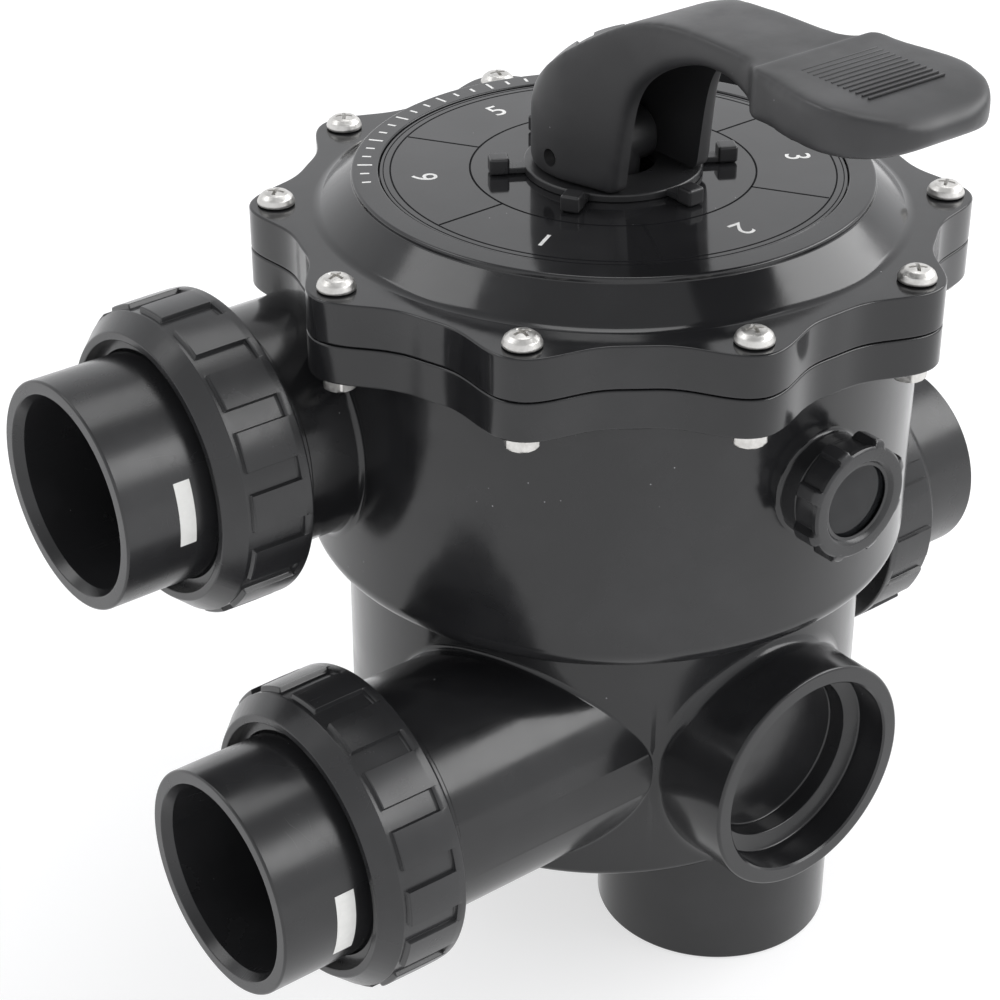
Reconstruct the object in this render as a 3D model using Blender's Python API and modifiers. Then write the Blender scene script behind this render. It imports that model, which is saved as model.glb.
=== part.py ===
"""A six-way multiport valve: a two-piece housing, a bolted lid with a dial, a lever handle that lifts
and turns the rotor inside, four pipe unions, a sight glass and two blanked sockets.

Sizes are in millimetres, and the helpers below turn them into metres. The frame: +Z is the valve's own
axis and z = 0 is the flat underside of the lower chamber. +X is the way the two filter unions point, and
+Y is the way the handle and the front blanked socket point."""

import math

import bmesh
import bpy
from mathutils import Matrix, Vector

MM = 0.001
GAP = 0.3  # clearance between two pieces that touch in the real valve

# Housing
LOWER_RADIUS = 86.0
LOWER_WALL = 5.5
LOWER_TOP = 87.7
UPPER_RADIUS = 98.5
UPPER_WALL = 6.0
UPPER_BOTTOM = LOWER_TOP + GAP
UPPER_FLOOR_TOP = 93.0
FLANGE_BOTTOM = 174.5
FLANGE_SPLIT = 187.0
FLANGE_TOP = 201.0
BODY_TOP = 180.0  # where the upper housing's round wall ends, inside its flange
EDGE_ROUND = 8.0
LOWER_FLOOR = 5.0
DIVIDER = 5.0  # the wall across the lower chamber
DIVIDER_HEIGHT = 82.0
DIVIDER_ANGLE = 60.0
WINDOW_CENTRE = 52.0  # the six openings in the upper housing's floor
WINDOW_LENGTH = 38.0
WINDOW_WIDTH = 26.0
INDEX_POSITIONS = 6
FIRST_POSITION = 30.0

# Bolt circle and the lobed flange outline
BOLT_COUNT = 10
BOLT_CIRCLE = 105.0
LOBE_RADIUS = 113.5
VALLEY_RADIUS = 101.5
LOBE_SHARPNESS = 1.7
POINTS_PER_LOBE = 8
BOLT_HOLE = 3.3
SCREW_R = 2.9
SCREW_HEAD_R = 5.9
SCREW_HEAD_HEIGHT = 4.2
NUT_CORNER_R = 5.6
NUT_HEIGHT = 4.8
SCREW_TIP = FLANGE_BOTTOM - 6.5
BLIND_TIP = FLANGE_BOTTOM + 2.0
BLIND_BOLTS = (6, 9)  # a neck runs under these two, so they have no nut and end inside the flange

# Lid
LID_SLOPE_BASE = 92.0
LID_RING_OUT = 81.5
LID_RING_IN = 73.0
LID_RING_TOP = 212.4
LID_SEAT = 209.6
LID_CAVITY = 86.0
STEM_BORE = 12.3
DIAL_RADIUS = 72.6
DIAL_BORE = 13.0
DIAL_THICKNESS = 2.0

# Unions: r is a radius, and the lengths are measured back from the tail piece's face
NECK_ROOT = 38.0  # where a neck starts inside the housing
NECK_R = 38.5
THREAD_R = 41.0
NECK_BORE = 27.0
UPPER_BORE_START = 70.0
LOWER_BORE_START = 60.0
TAIL_R = 36.0
SOCKET_R = 30.2
SOCKET_DEPTH = 34.0
TAIL_BORE = 26.5
COLLAR_R = 40.4
COLLAR_THICKNESS = 6.0
NUT_FRONT = 28.0
NUT_BACK = 56.0
NUT_LIP = 4.0
NUT_LIP_R = 36.6
NUT_MOUTH_R = 39.4
NUT_BORE = 41.6
NUT_R = 48.0
NUT_PADS = 16
PAD_HEIGHT = 1.5
PAD_WIDTH = 11.6
SEAL_THICKNESS = 2.4
SEAL_IN = 29.0
SEAL_OUT = 37.0
# name: (direction in degrees, sideways offset, height of the axis, how far the tail's face is from the
# valve's axis)
FILTER_OFFSET = 36.7
LOWER_AXIS = 41.5
UNIONS = {
    "filter_top": (0.0, -FILTER_OFFSET, 141.0, 180.0),
    "filter_bottom": (0.0, FILTER_OFFSET, LOWER_AXIS, 180.0),
    "return": (180.0, 13.0, 49.0, 160.0),
    "pump": (225.0, 0.0, 147.0, 211.0),
}
UPPER_UNIONS = ("filter_top", "pump")

# Blanked sockets: one at the front, one underneath
BLANK_R = 38.9
BLANK_OFFSET = -2.0
BLANK_AXIS = 39.0
BLANK_REACH = 105.0
BLANK_STEPS = ((33.2, 11.5), (28.0, 19.5))
STUB_R = 38.9
STUB_CENTRE = (-5.0, 55.0)
STUB_BOTTOM = -40.0
STUB_STEPS = ((32.8, 14.0), (28.5, 26.0))

# Sight glass, on the +Y side of the upper housing
SIGHT_HEIGHT = 143.8
SIGHT_BOSS_R = 16.2
SIGHT_BOSS_END = 104.5
SIGHT_SPIGOT_R = 14.2
SIGHT_SPIGOT_END = 109.4
SIGHT_BORE = 9.5
SIGHT_NUT_R = 17.9
SIGHT_NUT_END = 115.0
SIGHT_WINDOW = 11.6
SIGHT_LUGS = 8
LENS_R = 13.0

# Rotor, stem and handle
ROTOR_R = 84.0
ROTOR_BOTTOM = 96.6
ROTOR_TOP = 110.0
HUB_R = 19.0
STEM_R = 9.0
STEM_BOTTOM = 104.0
O_RING = 1.2
O_RING_CENTRE = 10.65
O_RING_LOWS = (192.0, 198.0)
LID_GROOVE_IN = 94.6
LID_GROOVE_OUT = 99.0
LID_GROOVE_DEPTH = 3.6
GASKET_IN = 76.0
GASKET_OUT = 81.0
PIN_HEIGHT = 221.5
PIN_R = 3.0
PIN_LENGTH = 44.0
EYE_R = 8.5
EYE_HALF_WIDTH = 11.0
BARREL_R = 25.7
BARREL_BOTTOM = 214.8
SLOT_HALF_WIDTH = 14.2
PADDLE_HALF_WIDTH = 29.0
NECK_HALF_WIDTH = 17.0
HANDLE_REACH = 137.5
INDEX_HUB_R = 28.0
INDEX_LUG_IN = 32.8  # outside the circle that the barrel's front corners turn in
INDEX_LUG_OUT = 39.0
INDEX_LUG_WIDTH = 6.0
INDEX_LUG_HEIGHT = 5.4

# Spring
SPRING_R = 15.0
SPRING_WIRE = 1.7
SPRING_TURNS = 5
SPRING_BOTTOM = 126.0
SPRING_TOP = 184.5


# The exact solver leaves open edges in these, which have many joins and cuts, so they use the manifold one.
LONG_CHAINS = {"upper_housing", "lower_chamber", "lid"}


# How many flat sides stand for a circle, and the angle past which an edge is shaded sharp
LARGE = 48
MEDIUM = 24
SMALL = 16
TINY = 10
SHARP = math.radians(35)


def clear_scene():
    for old in list(bpy.data.objects):
        bpy.data.objects.remove(old, do_unlink=True)


def new_collection(name):
    made = bpy.data.collections.new(name)
    bpy.context.scene.collection.children.link(made)
    return made


clear_scene()
PARTS = new_collection("multiport_valve")
CUTTERS = new_collection("cutters")


def material(name, colour, roughness, metallic=0.0):
    made = bpy.data.materials.new(name)
    made.use_nodes = True
    shader = made.node_tree.nodes["Principled BSDF"]
    shader.inputs["Base Color"].default_value = (*colour, 1.0)
    shader.inputs["Roughness"].default_value = roughness
    shader.inputs["Metallic"].default_value = metallic
    return made


BLACK = (0.012, 0.012, 0.013)
STEEL = (0.62, 0.61, 0.58)


def plastic(name):
    return material(name, BLACK, 0.3)


def rubber(name):
    return material(name, (0.02, 0.02, 0.02), 0.7)


def steel(name):
    return material(name, STEEL, 0.3, 1.0)


def new_object(name, mesh, made_of=None, cutter=False):
    """A mesh as an object, in the parts' collection, or hidden with the cutters."""
    made = bpy.data.objects.new(name, mesh)
    if cutter:
        CUTTERS.objects.link(made)
        made.hide_render = True
        made.display_type = "WIRE"
    else:
        PARTS.objects.link(made)
        mesh.materials.append(made_of)
    return made


def turned(name, profile, segments, made_of=None, cutter=False):
    """A solid of revolution about local Z. The profile of (radius, z) points runs down the outer side.
    It is closed into a loop unless it starts and ends on the axis."""
    mesh = bpy.data.meshes.new(name)
    points = [(r * MM, 0.0, z * MM) for r, z in profile]
    edges = [(i, i + 1) for i in range(len(points) - 1)]
    if profile[0][0] > 0:
        edges.append((len(points) - 1, 0))
    mesh.from_pydata(points, edges, [])
    made = new_object(name, mesh, made_of, cutter)
    screw = made.modifiers.new("turn", "SCREW")
    screw.steps = segments
    screw.render_steps = segments
    screw.use_merge_vertices = True
    screw.merge_threshold = 0.00001
    screw.use_smooth_shade = True
    return made


def shade(mesh):
    """Round faces smooth, corners sharp."""
    mesh.shade_smooth()
    mesh.set_sharp_from_angle(angle=SHARP)


def cylinder(name, radius, low, high, segments, made_of=None, cutter=False):
    """A plain cylinder about local Z between two heights."""
    mesh = bpy.data.meshes.new(name)
    shape = bmesh.new()
    bmesh.ops.create_cone(
        shape,
        cap_ends=True,
        segments=segments,
        radius1=radius * MM,
        radius2=radius * MM,
        depth=(high - low) * MM,
        matrix=Matrix.Translation((0, 0, (low + high) / 2 * MM)),
    )
    shape.to_mesh(mesh)
    shape.free()
    shade(mesh)
    return new_object(name, mesh, made_of, cutter)


def add_box(shape, centre, size, turn=None):
    """Adds one box to a bmesh: centre and size in millimetres, then turned about the origin."""
    matrix = Matrix.Translation([c * MM for c in centre]) @ Matrix.Diagonal([*(s * MM for s in size), 1.0])
    if turn is not None:
        matrix = turn @ matrix
    bmesh.ops.create_cube(shape, size=1.0, matrix=matrix)


def boxes(name, items, made_of=None, cutter=False):
    """One object from several boxes, each given as (centre, size, turn)."""
    mesh = bpy.data.meshes.new(name)
    shape = bmesh.new()
    for centre, size, turn in items:
        add_box(shape, centre, size, turn)
    shape.to_mesh(mesh)
    shape.free()
    return new_object(name, mesh, made_of, cutter)


def extruded(name, outline, low, high, made_of=None, cutter=False):
    """A prism along local Z from a flat outline of (x, y) points that runs counter-clockwise."""
    mesh = bpy.data.meshes.new(name)
    shape = bmesh.new()
    corners = [shape.verts.new((x * MM, y * MM, low * MM)) for x, y in outline]
    face = shape.faces.new(corners)
    raised = bmesh.ops.extrude_face_region(shape, geom=[face])
    top = [v for v in raised["geom"] if isinstance(v, bmesh.types.BMVert)]
    bmesh.ops.translate(shape, verts=top, vec=(0, 0, (high - low) * MM))
    bmesh.ops.recalc_face_normals(shape, faces=shape.faces)
    shape.to_mesh(mesh)
    shape.free()
    shade(mesh)
    return new_object(name, mesh, made_of, cutter)


def boolean(target, other, operation):
    step = target.modifiers.new(f"{operation.lower()}_{other.name}", "BOOLEAN")
    step.operation = operation
    step.solver = "MANIFOLD" if target.name in LONG_CHAINS else "EXACT"
    step.object = other


def cut(target, *others):
    for other in others:
        boolean(target, other, "DIFFERENCE")


def join(target, *others):
    for other in others:
        boolean(target, other, "UNION")


def turned_about_z(degrees):
    return Matrix.Rotation(math.radians(degrees), 4, "Z")


def across(direction, offset, height):
    """The matrix that lays local Z along a horizontal direction, in degrees from +X, at a height and a
    sideways offset to the left of the direction."""
    lay_down = Matrix.Rotation(math.radians(90), 4, "Y")
    place = Matrix.Translation((0, offset * MM, height * MM))
    return turned_about_z(direction) @ place @ lay_down


def arc(centre, radius, start, end, count):
    """Points on an arc, both ends included, angles in degrees."""
    points = []
    for i in range(count + 1):
        angle = math.radians(start + (end - start) * i / count)
        points.append((centre[0] + radius * math.cos(angle), centre[1] + radius * math.sin(angle)))
    return points


def bolt_angles():
    return [360.0 / BOLT_COUNT * i for i in range(BOLT_COUNT)]


def position_angle(i):
    """Where the dial's position i is, in degrees from +X."""
    return FIRST_POSITION + 360.0 / INDEX_POSITIONS * i


def lobed_outline():
    """The flange outline: one lobe on each bolt and a shallow valley between two of them."""
    points = []
    count = BOLT_COUNT * POINTS_PER_LOBE
    for i in range(count):
        angle = 2 * math.pi * i / count
        rise = (0.5 + 0.5 * math.cos(BOLT_COUNT * angle)) ** LOBE_SHARPNESS
        radius = VALLEY_RADIUS + (LOBE_RADIUS - VALLEY_RADIUS) * rise
        points.append((radius * math.cos(angle), radius * math.sin(angle)))
    return points


def screw_tip(i):
    return BLIND_TIP if i in BLIND_BOLTS else SCREW_TIP


def bolt_holes(name, high):
    """One cutter made of a cylinder at each bolt, from just below the screw's tip."""
    mesh = bpy.data.meshes.new(name)
    shape = bmesh.new()
    for i, angle in enumerate(bolt_angles()):
        low = screw_tip(i) - 1.0
        place = turned_about_z(angle) @ Matrix.Translation((BOLT_CIRCLE * MM, 0, (low + high) / 2 * MM))
        bmesh.ops.create_cone(
            shape,
            cap_ends=True,
            segments=TINY,
            radius1=BOLT_HOLE * MM,
            radius2=BOLT_HOLE * MM,
            depth=(high - low) * MM,
            matrix=place,
        )
    shape.to_mesh(mesh)
    shape.free()
    return new_object(name, mesh, cutter=True)


# ---- Housing --------------------------------------------------------------------------------------


def neck_end(reach):
    """How far a neck reaches from the valve's axis. The tail's collar and the seal lie between it and the
    nut's lip."""
    return reach - NUT_FRONT - NUT_LIP - COLLAR_THICKNESS - SEAL_THICKNESS - 3 * GAP


def neck_solid(union):
    """The solid neck of one union, whose thread the nut turns on. It starts inside the housing's wall."""
    direction, offset, height, reach = UNIONS[union]
    end = neck_end(reach)
    thread = reach - NUT_BACK + 3
    profile = [(0, end), (THREAD_R - 1.2, end), (THREAD_R, end - 1.2), (THREAD_R, thread)]
    profile += [(NECK_R, thread - 3), (NECK_R, NECK_ROOT), (0, NECK_ROOT)]
    made = turned(f"neck_{union}", profile, MEDIUM, cutter=True)
    made.matrix_world = across(direction, offset, height)
    return made


def neck_bore(union, start):
    """The round way through a neck and the wall behind it."""
    direction, offset, height, reach = UNIONS[union]
    made = cylinder(f"bore_{union}", NECK_BORE, start, reach, SMALL, cutter=True)
    made.matrix_world = across(direction, offset, height)
    return made


def stepped_socket(name, steps):
    """A cutter for a blanked socket about local Z. Its mouth is at 0, and each step down is narrower."""
    mouth = 5.0
    profile = [(0, mouth)]
    top = mouth
    for radius, depth in steps:
        profile += [(radius, top), (radius, -depth)]
        top = -depth
    profile.append((0, top))
    return turned(name, profile, MEDIUM, cutter=True)


def upper_housing():
    solid = [(0, BODY_TOP), (UPPER_RADIUS, BODY_TOP)]
    solid += arc((UPPER_RADIUS - EDGE_ROUND, UPPER_BOTTOM + EDGE_ROUND), EDGE_ROUND, 0, -90, 3)
    solid.append((0, UPPER_BOTTOM))
    body = turned("upper_housing", solid, LARGE, plastic("upper_housing"))
    flange = extruded("upper_flange", lobed_outline(), FLANGE_BOTTOM, FLANGE_SPLIT, cutter=True)
    join(body, flange)
    for union in UPPER_UNIONS:
        join(body, neck_solid(union))
    spigot = [(0, SIGHT_SPIGOT_END), (SIGHT_SPIGOT_R, SIGHT_SPIGOT_END), (SIGHT_SPIGOT_R, SIGHT_BOSS_END)]
    spigot += [(SIGHT_BOSS_R, SIGHT_BOSS_END), (SIGHT_BOSS_R, 85), (0, 85)]
    boss = turned("sight_boss", spigot, SMALL, cutter=True)
    boss.matrix_world = across(90, 0, SIGHT_HEIGHT)
    join(body, boss)
    inner = UPPER_RADIUS - UPPER_WALL
    cavity = cylinder("upper_cavity", inner, UPPER_FLOOR_TOP, FLANGE_SPLIT + 10, LARGE, cutter=True)
    cut(body, cavity)
    for union in UPPER_UNIONS:
        cut(body, neck_bore(union, UPPER_BORE_START))
    sight_bore = cylinder("sight_bore", SIGHT_BORE, 80, SIGHT_SPIGOT_END + 5, SMALL, cutter=True)
    sight_bore.matrix_world = across(90, 0, SIGHT_HEIGHT)
    cut(body, sight_bore)
    windows = []
    for i in range(INDEX_POSITIONS):
        size = (WINDOW_LENGTH, WINDOW_WIDTH, 20)
        windows.append(((WINDOW_CENTRE, 0, UPPER_FLOOR_TOP), size, turned_about_z(position_angle(i))))
    cut(body, boxes("floor_windows", windows, cutter=True))
    groove = ring(LID_GROOVE_IN, LID_GROOVE_OUT, FLANGE_SPLIT - LID_GROOVE_DEPTH, FLANGE_SPLIT + 3)
    cut(body, turned("lid_groove", groove, LARGE, cutter=True))
    cut(body, bolt_holes("upper_bolt_holes", FLANGE_SPLIT + 5))


def ring(inner, outer, low, high):
    """The profile of a plain ring of rectangular section."""
    return [(inner, high), (outer, high), (outer, low), (inner, low)]


def lower_chamber():
    solid = [(0, LOWER_TOP), (LOWER_RADIUS, LOWER_TOP)]
    solid += arc((LOWER_RADIUS - 3, 3), 3, 0, -90, 2)
    solid.append((0, 0))
    body = turned("lower_chamber", solid, LARGE, plastic("lower_chamber"))
    for union in UNIONS:
        if union not in UPPER_UNIONS:
            join(body, neck_solid(union))
    blank = cylinder("blank_solid", BLANK_R, 40, BLANK_REACH, MEDIUM, cutter=True)
    blank.matrix_world = across(90, BLANK_OFFSET, BLANK_AXIS)
    stub = cylinder("stub_solid", STUB_R, STUB_BOTTOM, 20, MEDIUM, cutter=True)
    stub.matrix_world = Matrix.Translation((STUB_CENTRE[0] * MM, STUB_CENTRE[1] * MM, 0))
    join(body, blank, stub)
    inner = LOWER_RADIUS - LOWER_WALL
    cut(body, cylinder("lower_cavity", inner, LOWER_FLOOR, LOWER_TOP + 10, LARGE, cutter=True))
    middle = (0, 0, LOWER_FLOOR - 2 + DIVIDER_HEIGHT / 2)
    divider = (middle, (DIVIDER, 2 * inner + 2, DIVIDER_HEIGHT), turned_about_z(DIVIDER_ANGLE))
    join(body, boxes("divider", [divider], cutter=True))
    for union in UNIONS:
        if union not in UPPER_UNIONS:
            cut(body, neck_bore(union, LOWER_BORE_START))
    front = stepped_socket("front_socket", BLANK_STEPS)
    front.matrix_world = across(90, BLANK_OFFSET, BLANK_AXIS) @ Matrix.Translation((0, 0, BLANK_REACH * MM))
    under = stepped_socket("under_socket", STUB_STEPS)
    place = Vector((STUB_CENTRE[0] * MM, STUB_CENTRE[1] * MM, STUB_BOTTOM * MM))
    under.matrix_world = Matrix.Translation(place) @ Matrix.Rotation(math.pi, 4, "X")
    cut(body, front, under)


# ---- Lid, dial and fasteners ----------------------------------------------------------------------


def lid():
    low = FLANGE_SPLIT + GAP
    plate = extruded("lid", lobed_outline(), low, FLANGE_TOP, plastic("lid"))
    dome = [(0, LID_RING_TOP), (LID_RING_OUT - 1, LID_RING_TOP), (LID_RING_OUT, LID_RING_TOP - 1)]
    dome += [(LID_RING_OUT, LID_RING_TOP - 2), (LID_SLOPE_BASE, FLANGE_TOP + 0.6)]
    dome += [(LID_SLOPE_BASE, FLANGE_TOP - 3), (0, FLANGE_TOP - 3)]
    join(plate, turned("lid_dome", dome, LARGE, cutter=True))
    cavity = [(0, LID_SEAT - 5.5), (72, LID_SEAT - 5.5), (LID_CAVITY, FLANGE_TOP - 6)]
    cavity += [(LID_CAVITY, low - 5), (0, low - 5)]
    cut(plate, turned("lid_cavity", cavity, LARGE, cutter=True))
    boss = [(0, LID_SEAT - 2), (20, LID_SEAT - 2), (20, low + 1), (0, low + 1)]
    join(plate, turned("lid_boss", boss, SMALL, cutter=True))
    seat = cylinder("dial_seat", LID_RING_IN, LID_SEAT, LID_RING_TOP + 5, LARGE, cutter=True)
    bore = cylinder("stem_bore", STEM_BORE, low - 5, LID_RING_TOP, SMALL, cutter=True)
    cut(plate, seat, bore, bolt_holes("lid_bolt_holes", FLANGE_TOP + 5))


def index_lugs(name, inner, outer, width, low, high):
    """A cutter with a block at each dial position, between two radii."""
    size = (outer - inner, width, high - low)
    centre = ((inner + outer) / 2, 0, (low + high) / 2)
    lugs = [(centre, size, turned_about_z(position_angle(i))) for i in range(INDEX_POSITIONS)]
    return boxes(name, lugs, cutter=True)


def dial():
    low = LID_SEAT + GAP
    plate = ring(DIAL_BORE, DIAL_RADIUS, low, low + DIAL_THICKNESS)
    turned("dial_plate", plate, LARGE, material("dial_plate", BLACK, 0.25))
    base = low + DIAL_THICKNESS + GAP
    top = BARREL_BOTTOM - GAP
    plain = [(DIAL_BORE, top), (INDEX_HUB_R - 0.8, top), (INDEX_HUB_R, top - 0.8), (INDEX_HUB_R, base)]
    hub = turned("index_ring", [*plain, (DIAL_BORE, base)], MEDIUM, plastic("index_ring"))
    bar_width = INDEX_LUG_WIDTH - 1
    join(hub, index_lugs("index_bars", 20, INDEX_LUG_OUT - 1, bar_width, base + 0.2, top - 0.2))
    stop_top = base + INDEX_LUG_HEIGHT
    join(hub, index_lugs("index_stops", INDEX_LUG_IN, INDEX_LUG_OUT, INDEX_LUG_WIDTH, base, stop_top))


def fasteners():
    """A pan-head screw at each bolt position, and a hex nut under it where there is room for one."""
    head_low = FLANGE_TOP + GAP
    for i, angle in enumerate(bolt_angles()):
        tip = screw_tip(i)
        place = turned_about_z(angle) @ Matrix.Translation((BOLT_CIRCLE * MM, 0, 0))
        head_top = head_low + SCREW_HEAD_HEIGHT
        head = [(0, head_top), (2.8, head_top - 0.3), (4.9, head_top - 1.5), (SCREW_HEAD_R, head_low + 1)]
        head += [(SCREW_HEAD_R, head_low), (SCREW_R, head_low), (SCREW_R, tip), (0, tip)]
        screw = turned(f"screw_{i:02d}", head, TINY, steel(f"screw_{i:02d}"))
        screw.matrix_world = place
        if i in BLIND_BOLTS:
            continue
        nut_top = FLANGE_BOTTOM - GAP
        name = f"nut_{i:02d}"
        nut = cylinder(name, NUT_CORNER_R, nut_top - NUT_HEIGHT, nut_top, 6, steel(name))
        hole = cylinder(f"{name}_hole", SCREW_R + GAP, nut_top - 10, nut_top + 5, TINY, cutter=True)
        nut.matrix_world = place
        hole.matrix_world = place
        cut(nut, hole)


# ---- Unions ---------------------------------------------------------------------------------------


def union_nut(union, place):
    """The turning nut: a bore over the neck's thread, a lip in front of the tail's collar, and grip pads."""
    reach = UNIONS[union][3]
    front = reach - NUT_FRONT
    back = reach - NUT_BACK
    profile = [(NUT_MOUTH_R, front), (43.0, front), (45.8, front - 3.6), (NUT_R, front - 5.0)]
    profile += [(NUT_R, back + 1.2), (NUT_R - 1.2, back), (NUT_BORE, back)]
    profile += [(NUT_BORE, front - NUT_LIP), (NUT_LIP_R, front - NUT_LIP), (NUT_LIP_R, front - 2)]
    nut = turned(f"{union}_union_nut", profile, MEDIUM, plastic(f"{union}_union_nut"))
    pad_length = NUT_BACK - NUT_FRONT - 9.5
    pads = []
    for i in range(NUT_PADS):
        centre = (NUT_R - 0.5, 0, back + 2.5 + pad_length / 2)
        size = (2 * PAD_HEIGHT + 1.0, PAD_WIDTH, pad_length)
        pads.append((centre, size, turned_about_z(360 / NUT_PADS * i)))
    pad_shape = boxes(f"{union}_pads", pads, cutter=True)
    pad_shape.matrix_world = place
    nut.matrix_world = place
    join(nut, pad_shape)


def tail_piece(union, place):
    """The half that a pipe is glued into: a collar behind the nut's lip and a plain socket in front."""
    reach = UNIONS[union][3]
    collar_top = reach - NUT_FRONT - NUT_LIP - GAP
    collar_low = collar_top - COLLAR_THICKNESS
    profile = [(SOCKET_R, reach), (TAIL_R - 0.8, reach), (TAIL_R, reach - 0.8), (TAIL_R, collar_top)]
    profile += [(COLLAR_R, collar_top), (COLLAR_R, collar_low), (TAIL_BORE, collar_low)]
    profile += [(TAIL_BORE, reach - SOCKET_DEPTH), (SOCKET_R, reach - SOCKET_DEPTH)]
    tail = turned(f"{union}_tail_piece", profile, MEDIUM, plastic(f"{union}_tail_piece"))
    tail.matrix_world = place


def union_seal(union, place):
    """The flat-sided ring between the end of the neck and the tail piece's collar."""
    low = neck_end(UNIONS[union][3]) + GAP
    name = f"{union}_o_ring"
    seal = turned(name, ring(SEAL_IN, SEAL_OUT, low, low + SEAL_THICKNESS), MEDIUM, rubber(name))
    seal.matrix_world = place


def unions():
    for union, (direction, offset, height, _) in UNIONS.items():
        place = across(direction, offset, height)
        union_nut(union, place)
        tail_piece(union, place)
        union_seal(union, place)


# ---- Sight glass ----------------------------------------------------------------------------------


def sight_glass():
    place = across(90, 0, SIGHT_HEIGHT)
    spigot = SIGHT_SPIGOT_END
    seal = ring(SIGHT_BORE + 0.6, LENS_R, spigot + GAP, spigot + 1.3)
    gasket = turned("sight_gasket", seal, SMALL, rubber("sight_gasket"))
    glass = material("sight_lens", (0.5, 0.5, 0.5), 0.08)
    lens = cylinder("sight_lens", LENS_R, spigot + 1.6, spigot + 3.6, SMALL, glass)
    inner = SIGHT_SPIGOT_R + 2 * GAP
    back = SIGHT_BOSS_END + GAP
    lip = spigot + 3.9
    profile = [(SIGHT_WINDOW, SIGHT_NUT_END), (SIGHT_NUT_R - 1.6, SIGHT_NUT_END), (SIGHT_NUT_R, SIGHT_NUT_END - 1.6)]
    profile += [(SIGHT_NUT_R, back), (inner, back), (inner, lip), (SIGHT_WINDOW, lip)]
    nut = turned("sight_ring_nut", profile, MEDIUM, plastic("sight_ring_nut"))
    lugs = []
    for i in range(SIGHT_LUGS):
        centre = (SIGHT_NUT_R, 0, (back + SIGHT_NUT_END) / 2 - 0.5)
        size = (3.6, 4.2, SIGHT_NUT_END - back - 2.4)
        lugs.append((centre, size, turned_about_z(360 / SIGHT_LUGS * (i + 0.5))))
    lug_shape = boxes("sight_lugs", lugs, cutter=True)
    for made in (gasket, lens, nut, lug_shape):
        made.matrix_world = place
    join(nut, lug_shape)


# ---- Rotor, stem, spring and seals ----------------------------------------------------------------


def rotor():
    """The disc that opens one way through the valve at a time, with the stem that carries the handle."""
    hub_top = SPRING_BOTTOM - GAP
    profile = [(0, hub_top), (HUB_R, hub_top), (HUB_R + 7, ROTOR_TOP + 3), (ROTOR_R - 2, ROTOR_TOP)]
    profile += [(ROTOR_R, ROTOR_TOP - 2), (ROTOR_R, ROTOR_BOTTOM), (0, ROTOR_BOTTOM)]
    disc = turned("rotor", profile, LARGE, plastic("rotor"))
    socket = cylinder("stem_socket", STEM_R + GAP, STEM_BOTTOM, hub_top + 5, SMALL, cutter=True)
    ways = []
    for i in (0, 2, 3):
        size = (WINDOW_LENGTH - 4, WINDOW_WIDTH - 2, 14)
        ways.append(((WINDOW_CENTRE + 2, 0, ROTOR_BOTTOM), size, turned_about_z(position_angle(i))))
    cut(disc, socket, boxes("rotor_ways", ways, cutter=True))


def stem():
    profile = [(0, PIN_HEIGHT - 2), (STEM_R - 1, PIN_HEIGHT - 2), (STEM_R - 1, 208), (STEM_R, 207)]
    profile += [(STEM_R, STEM_BOTTOM + GAP), (0, STEM_BOTTOM + GAP)]
    shaft = turned("stem", profile, SMALL, plastic("stem"))
    eye = cylinder("stem_eye", EYE_R, -EYE_HALF_WIDTH, EYE_HALF_WIDTH, SMALL, cutter=True)
    hole = cylinder("stem_pin_hole", PIN_R + GAP, -30, 30, TINY, cutter=True)
    eye.matrix_world = across(0, 0, PIN_HEIGHT)
    hole.matrix_world = across(0, 0, PIN_HEIGHT)
    join(shaft, eye)
    cut(shaft, hole)


def seals():
    floor = UPPER_FLOOR_TOP + GAP
    top = ROTOR_BOTTOM - GAP
    rim = turned("spider_gasket", ring(GASKET_IN, GASKET_OUT, floor, top), MEDIUM, rubber("spider_gasket"))
    hub = turned("gasket_hub", ring(20, 27, floor + 0.1, top - 0.1), SMALL, cutter=True)
    spokes = []
    for i in range(INDEX_POSITIONS):
        size = (52, 5, top - floor - 0.4)
        spokes.append(((51, 0, (floor + top) / 2), size, turned_about_z(position_angle(i) + 30)))
    join(rim, hub, boxes("gasket_spokes", spokes, cutter=True))
    low = FLANGE_SPLIT - LID_GROOVE_DEPTH + GAP
    section = ring(LID_GROOVE_IN + GAP, LID_GROOVE_OUT - GAP, low, FLANGE_SPLIT)
    turned("lid_o_ring", section, LARGE, rubber("lid_o_ring"))
    for i, low in enumerate(O_RING_LOWS):
        section = arc((O_RING_CENTRE, low + O_RING), O_RING, 90, -180, 4)
        turned(f"stem_o_ring_{i}", section, SMALL, rubber(f"stem_o_ring_{i}"))


def spring():
    """A compression spring between the rotor's hub and the washer under the lid, as a coil of round wire."""
    washer = ring(STEM_R + GAP, HUB_R, SPRING_TOP + GAP, SPRING_TOP + 2.3)
    turned("spring_washer", washer, SMALL, steel("spring_washer"))
    per_turn = 10
    count = SPRING_TURNS * per_turn
    low = SPRING_BOTTOM + SPRING_WIRE
    rise = SPRING_TOP - SPRING_BOTTOM - 2 * SPRING_WIRE
    coil = bpy.data.curves.new("spring", "CURVE")
    coil.dimensions = "3D"
    path = coil.splines.new("POLY")
    path.points.add(count)
    for i in range(count + 1):
        angle = 2 * math.pi * i / per_turn
        x = SPRING_R * math.cos(angle) * MM
        y = SPRING_R * math.sin(angle) * MM
        path.points[i].co = (x, y, (low + rise * i / count) * MM, 1.0)
    coil.bevel_depth = SPRING_WIRE * MM
    coil.bevel_resolution = 1
    coil.use_fill_caps = True
    coil.materials.append(steel("spring"))
    made = bpy.data.objects.new("spring", coil)
    PARTS.objects.link(made)


# ---- Handle ---------------------------------------------------------------------------------------


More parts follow.
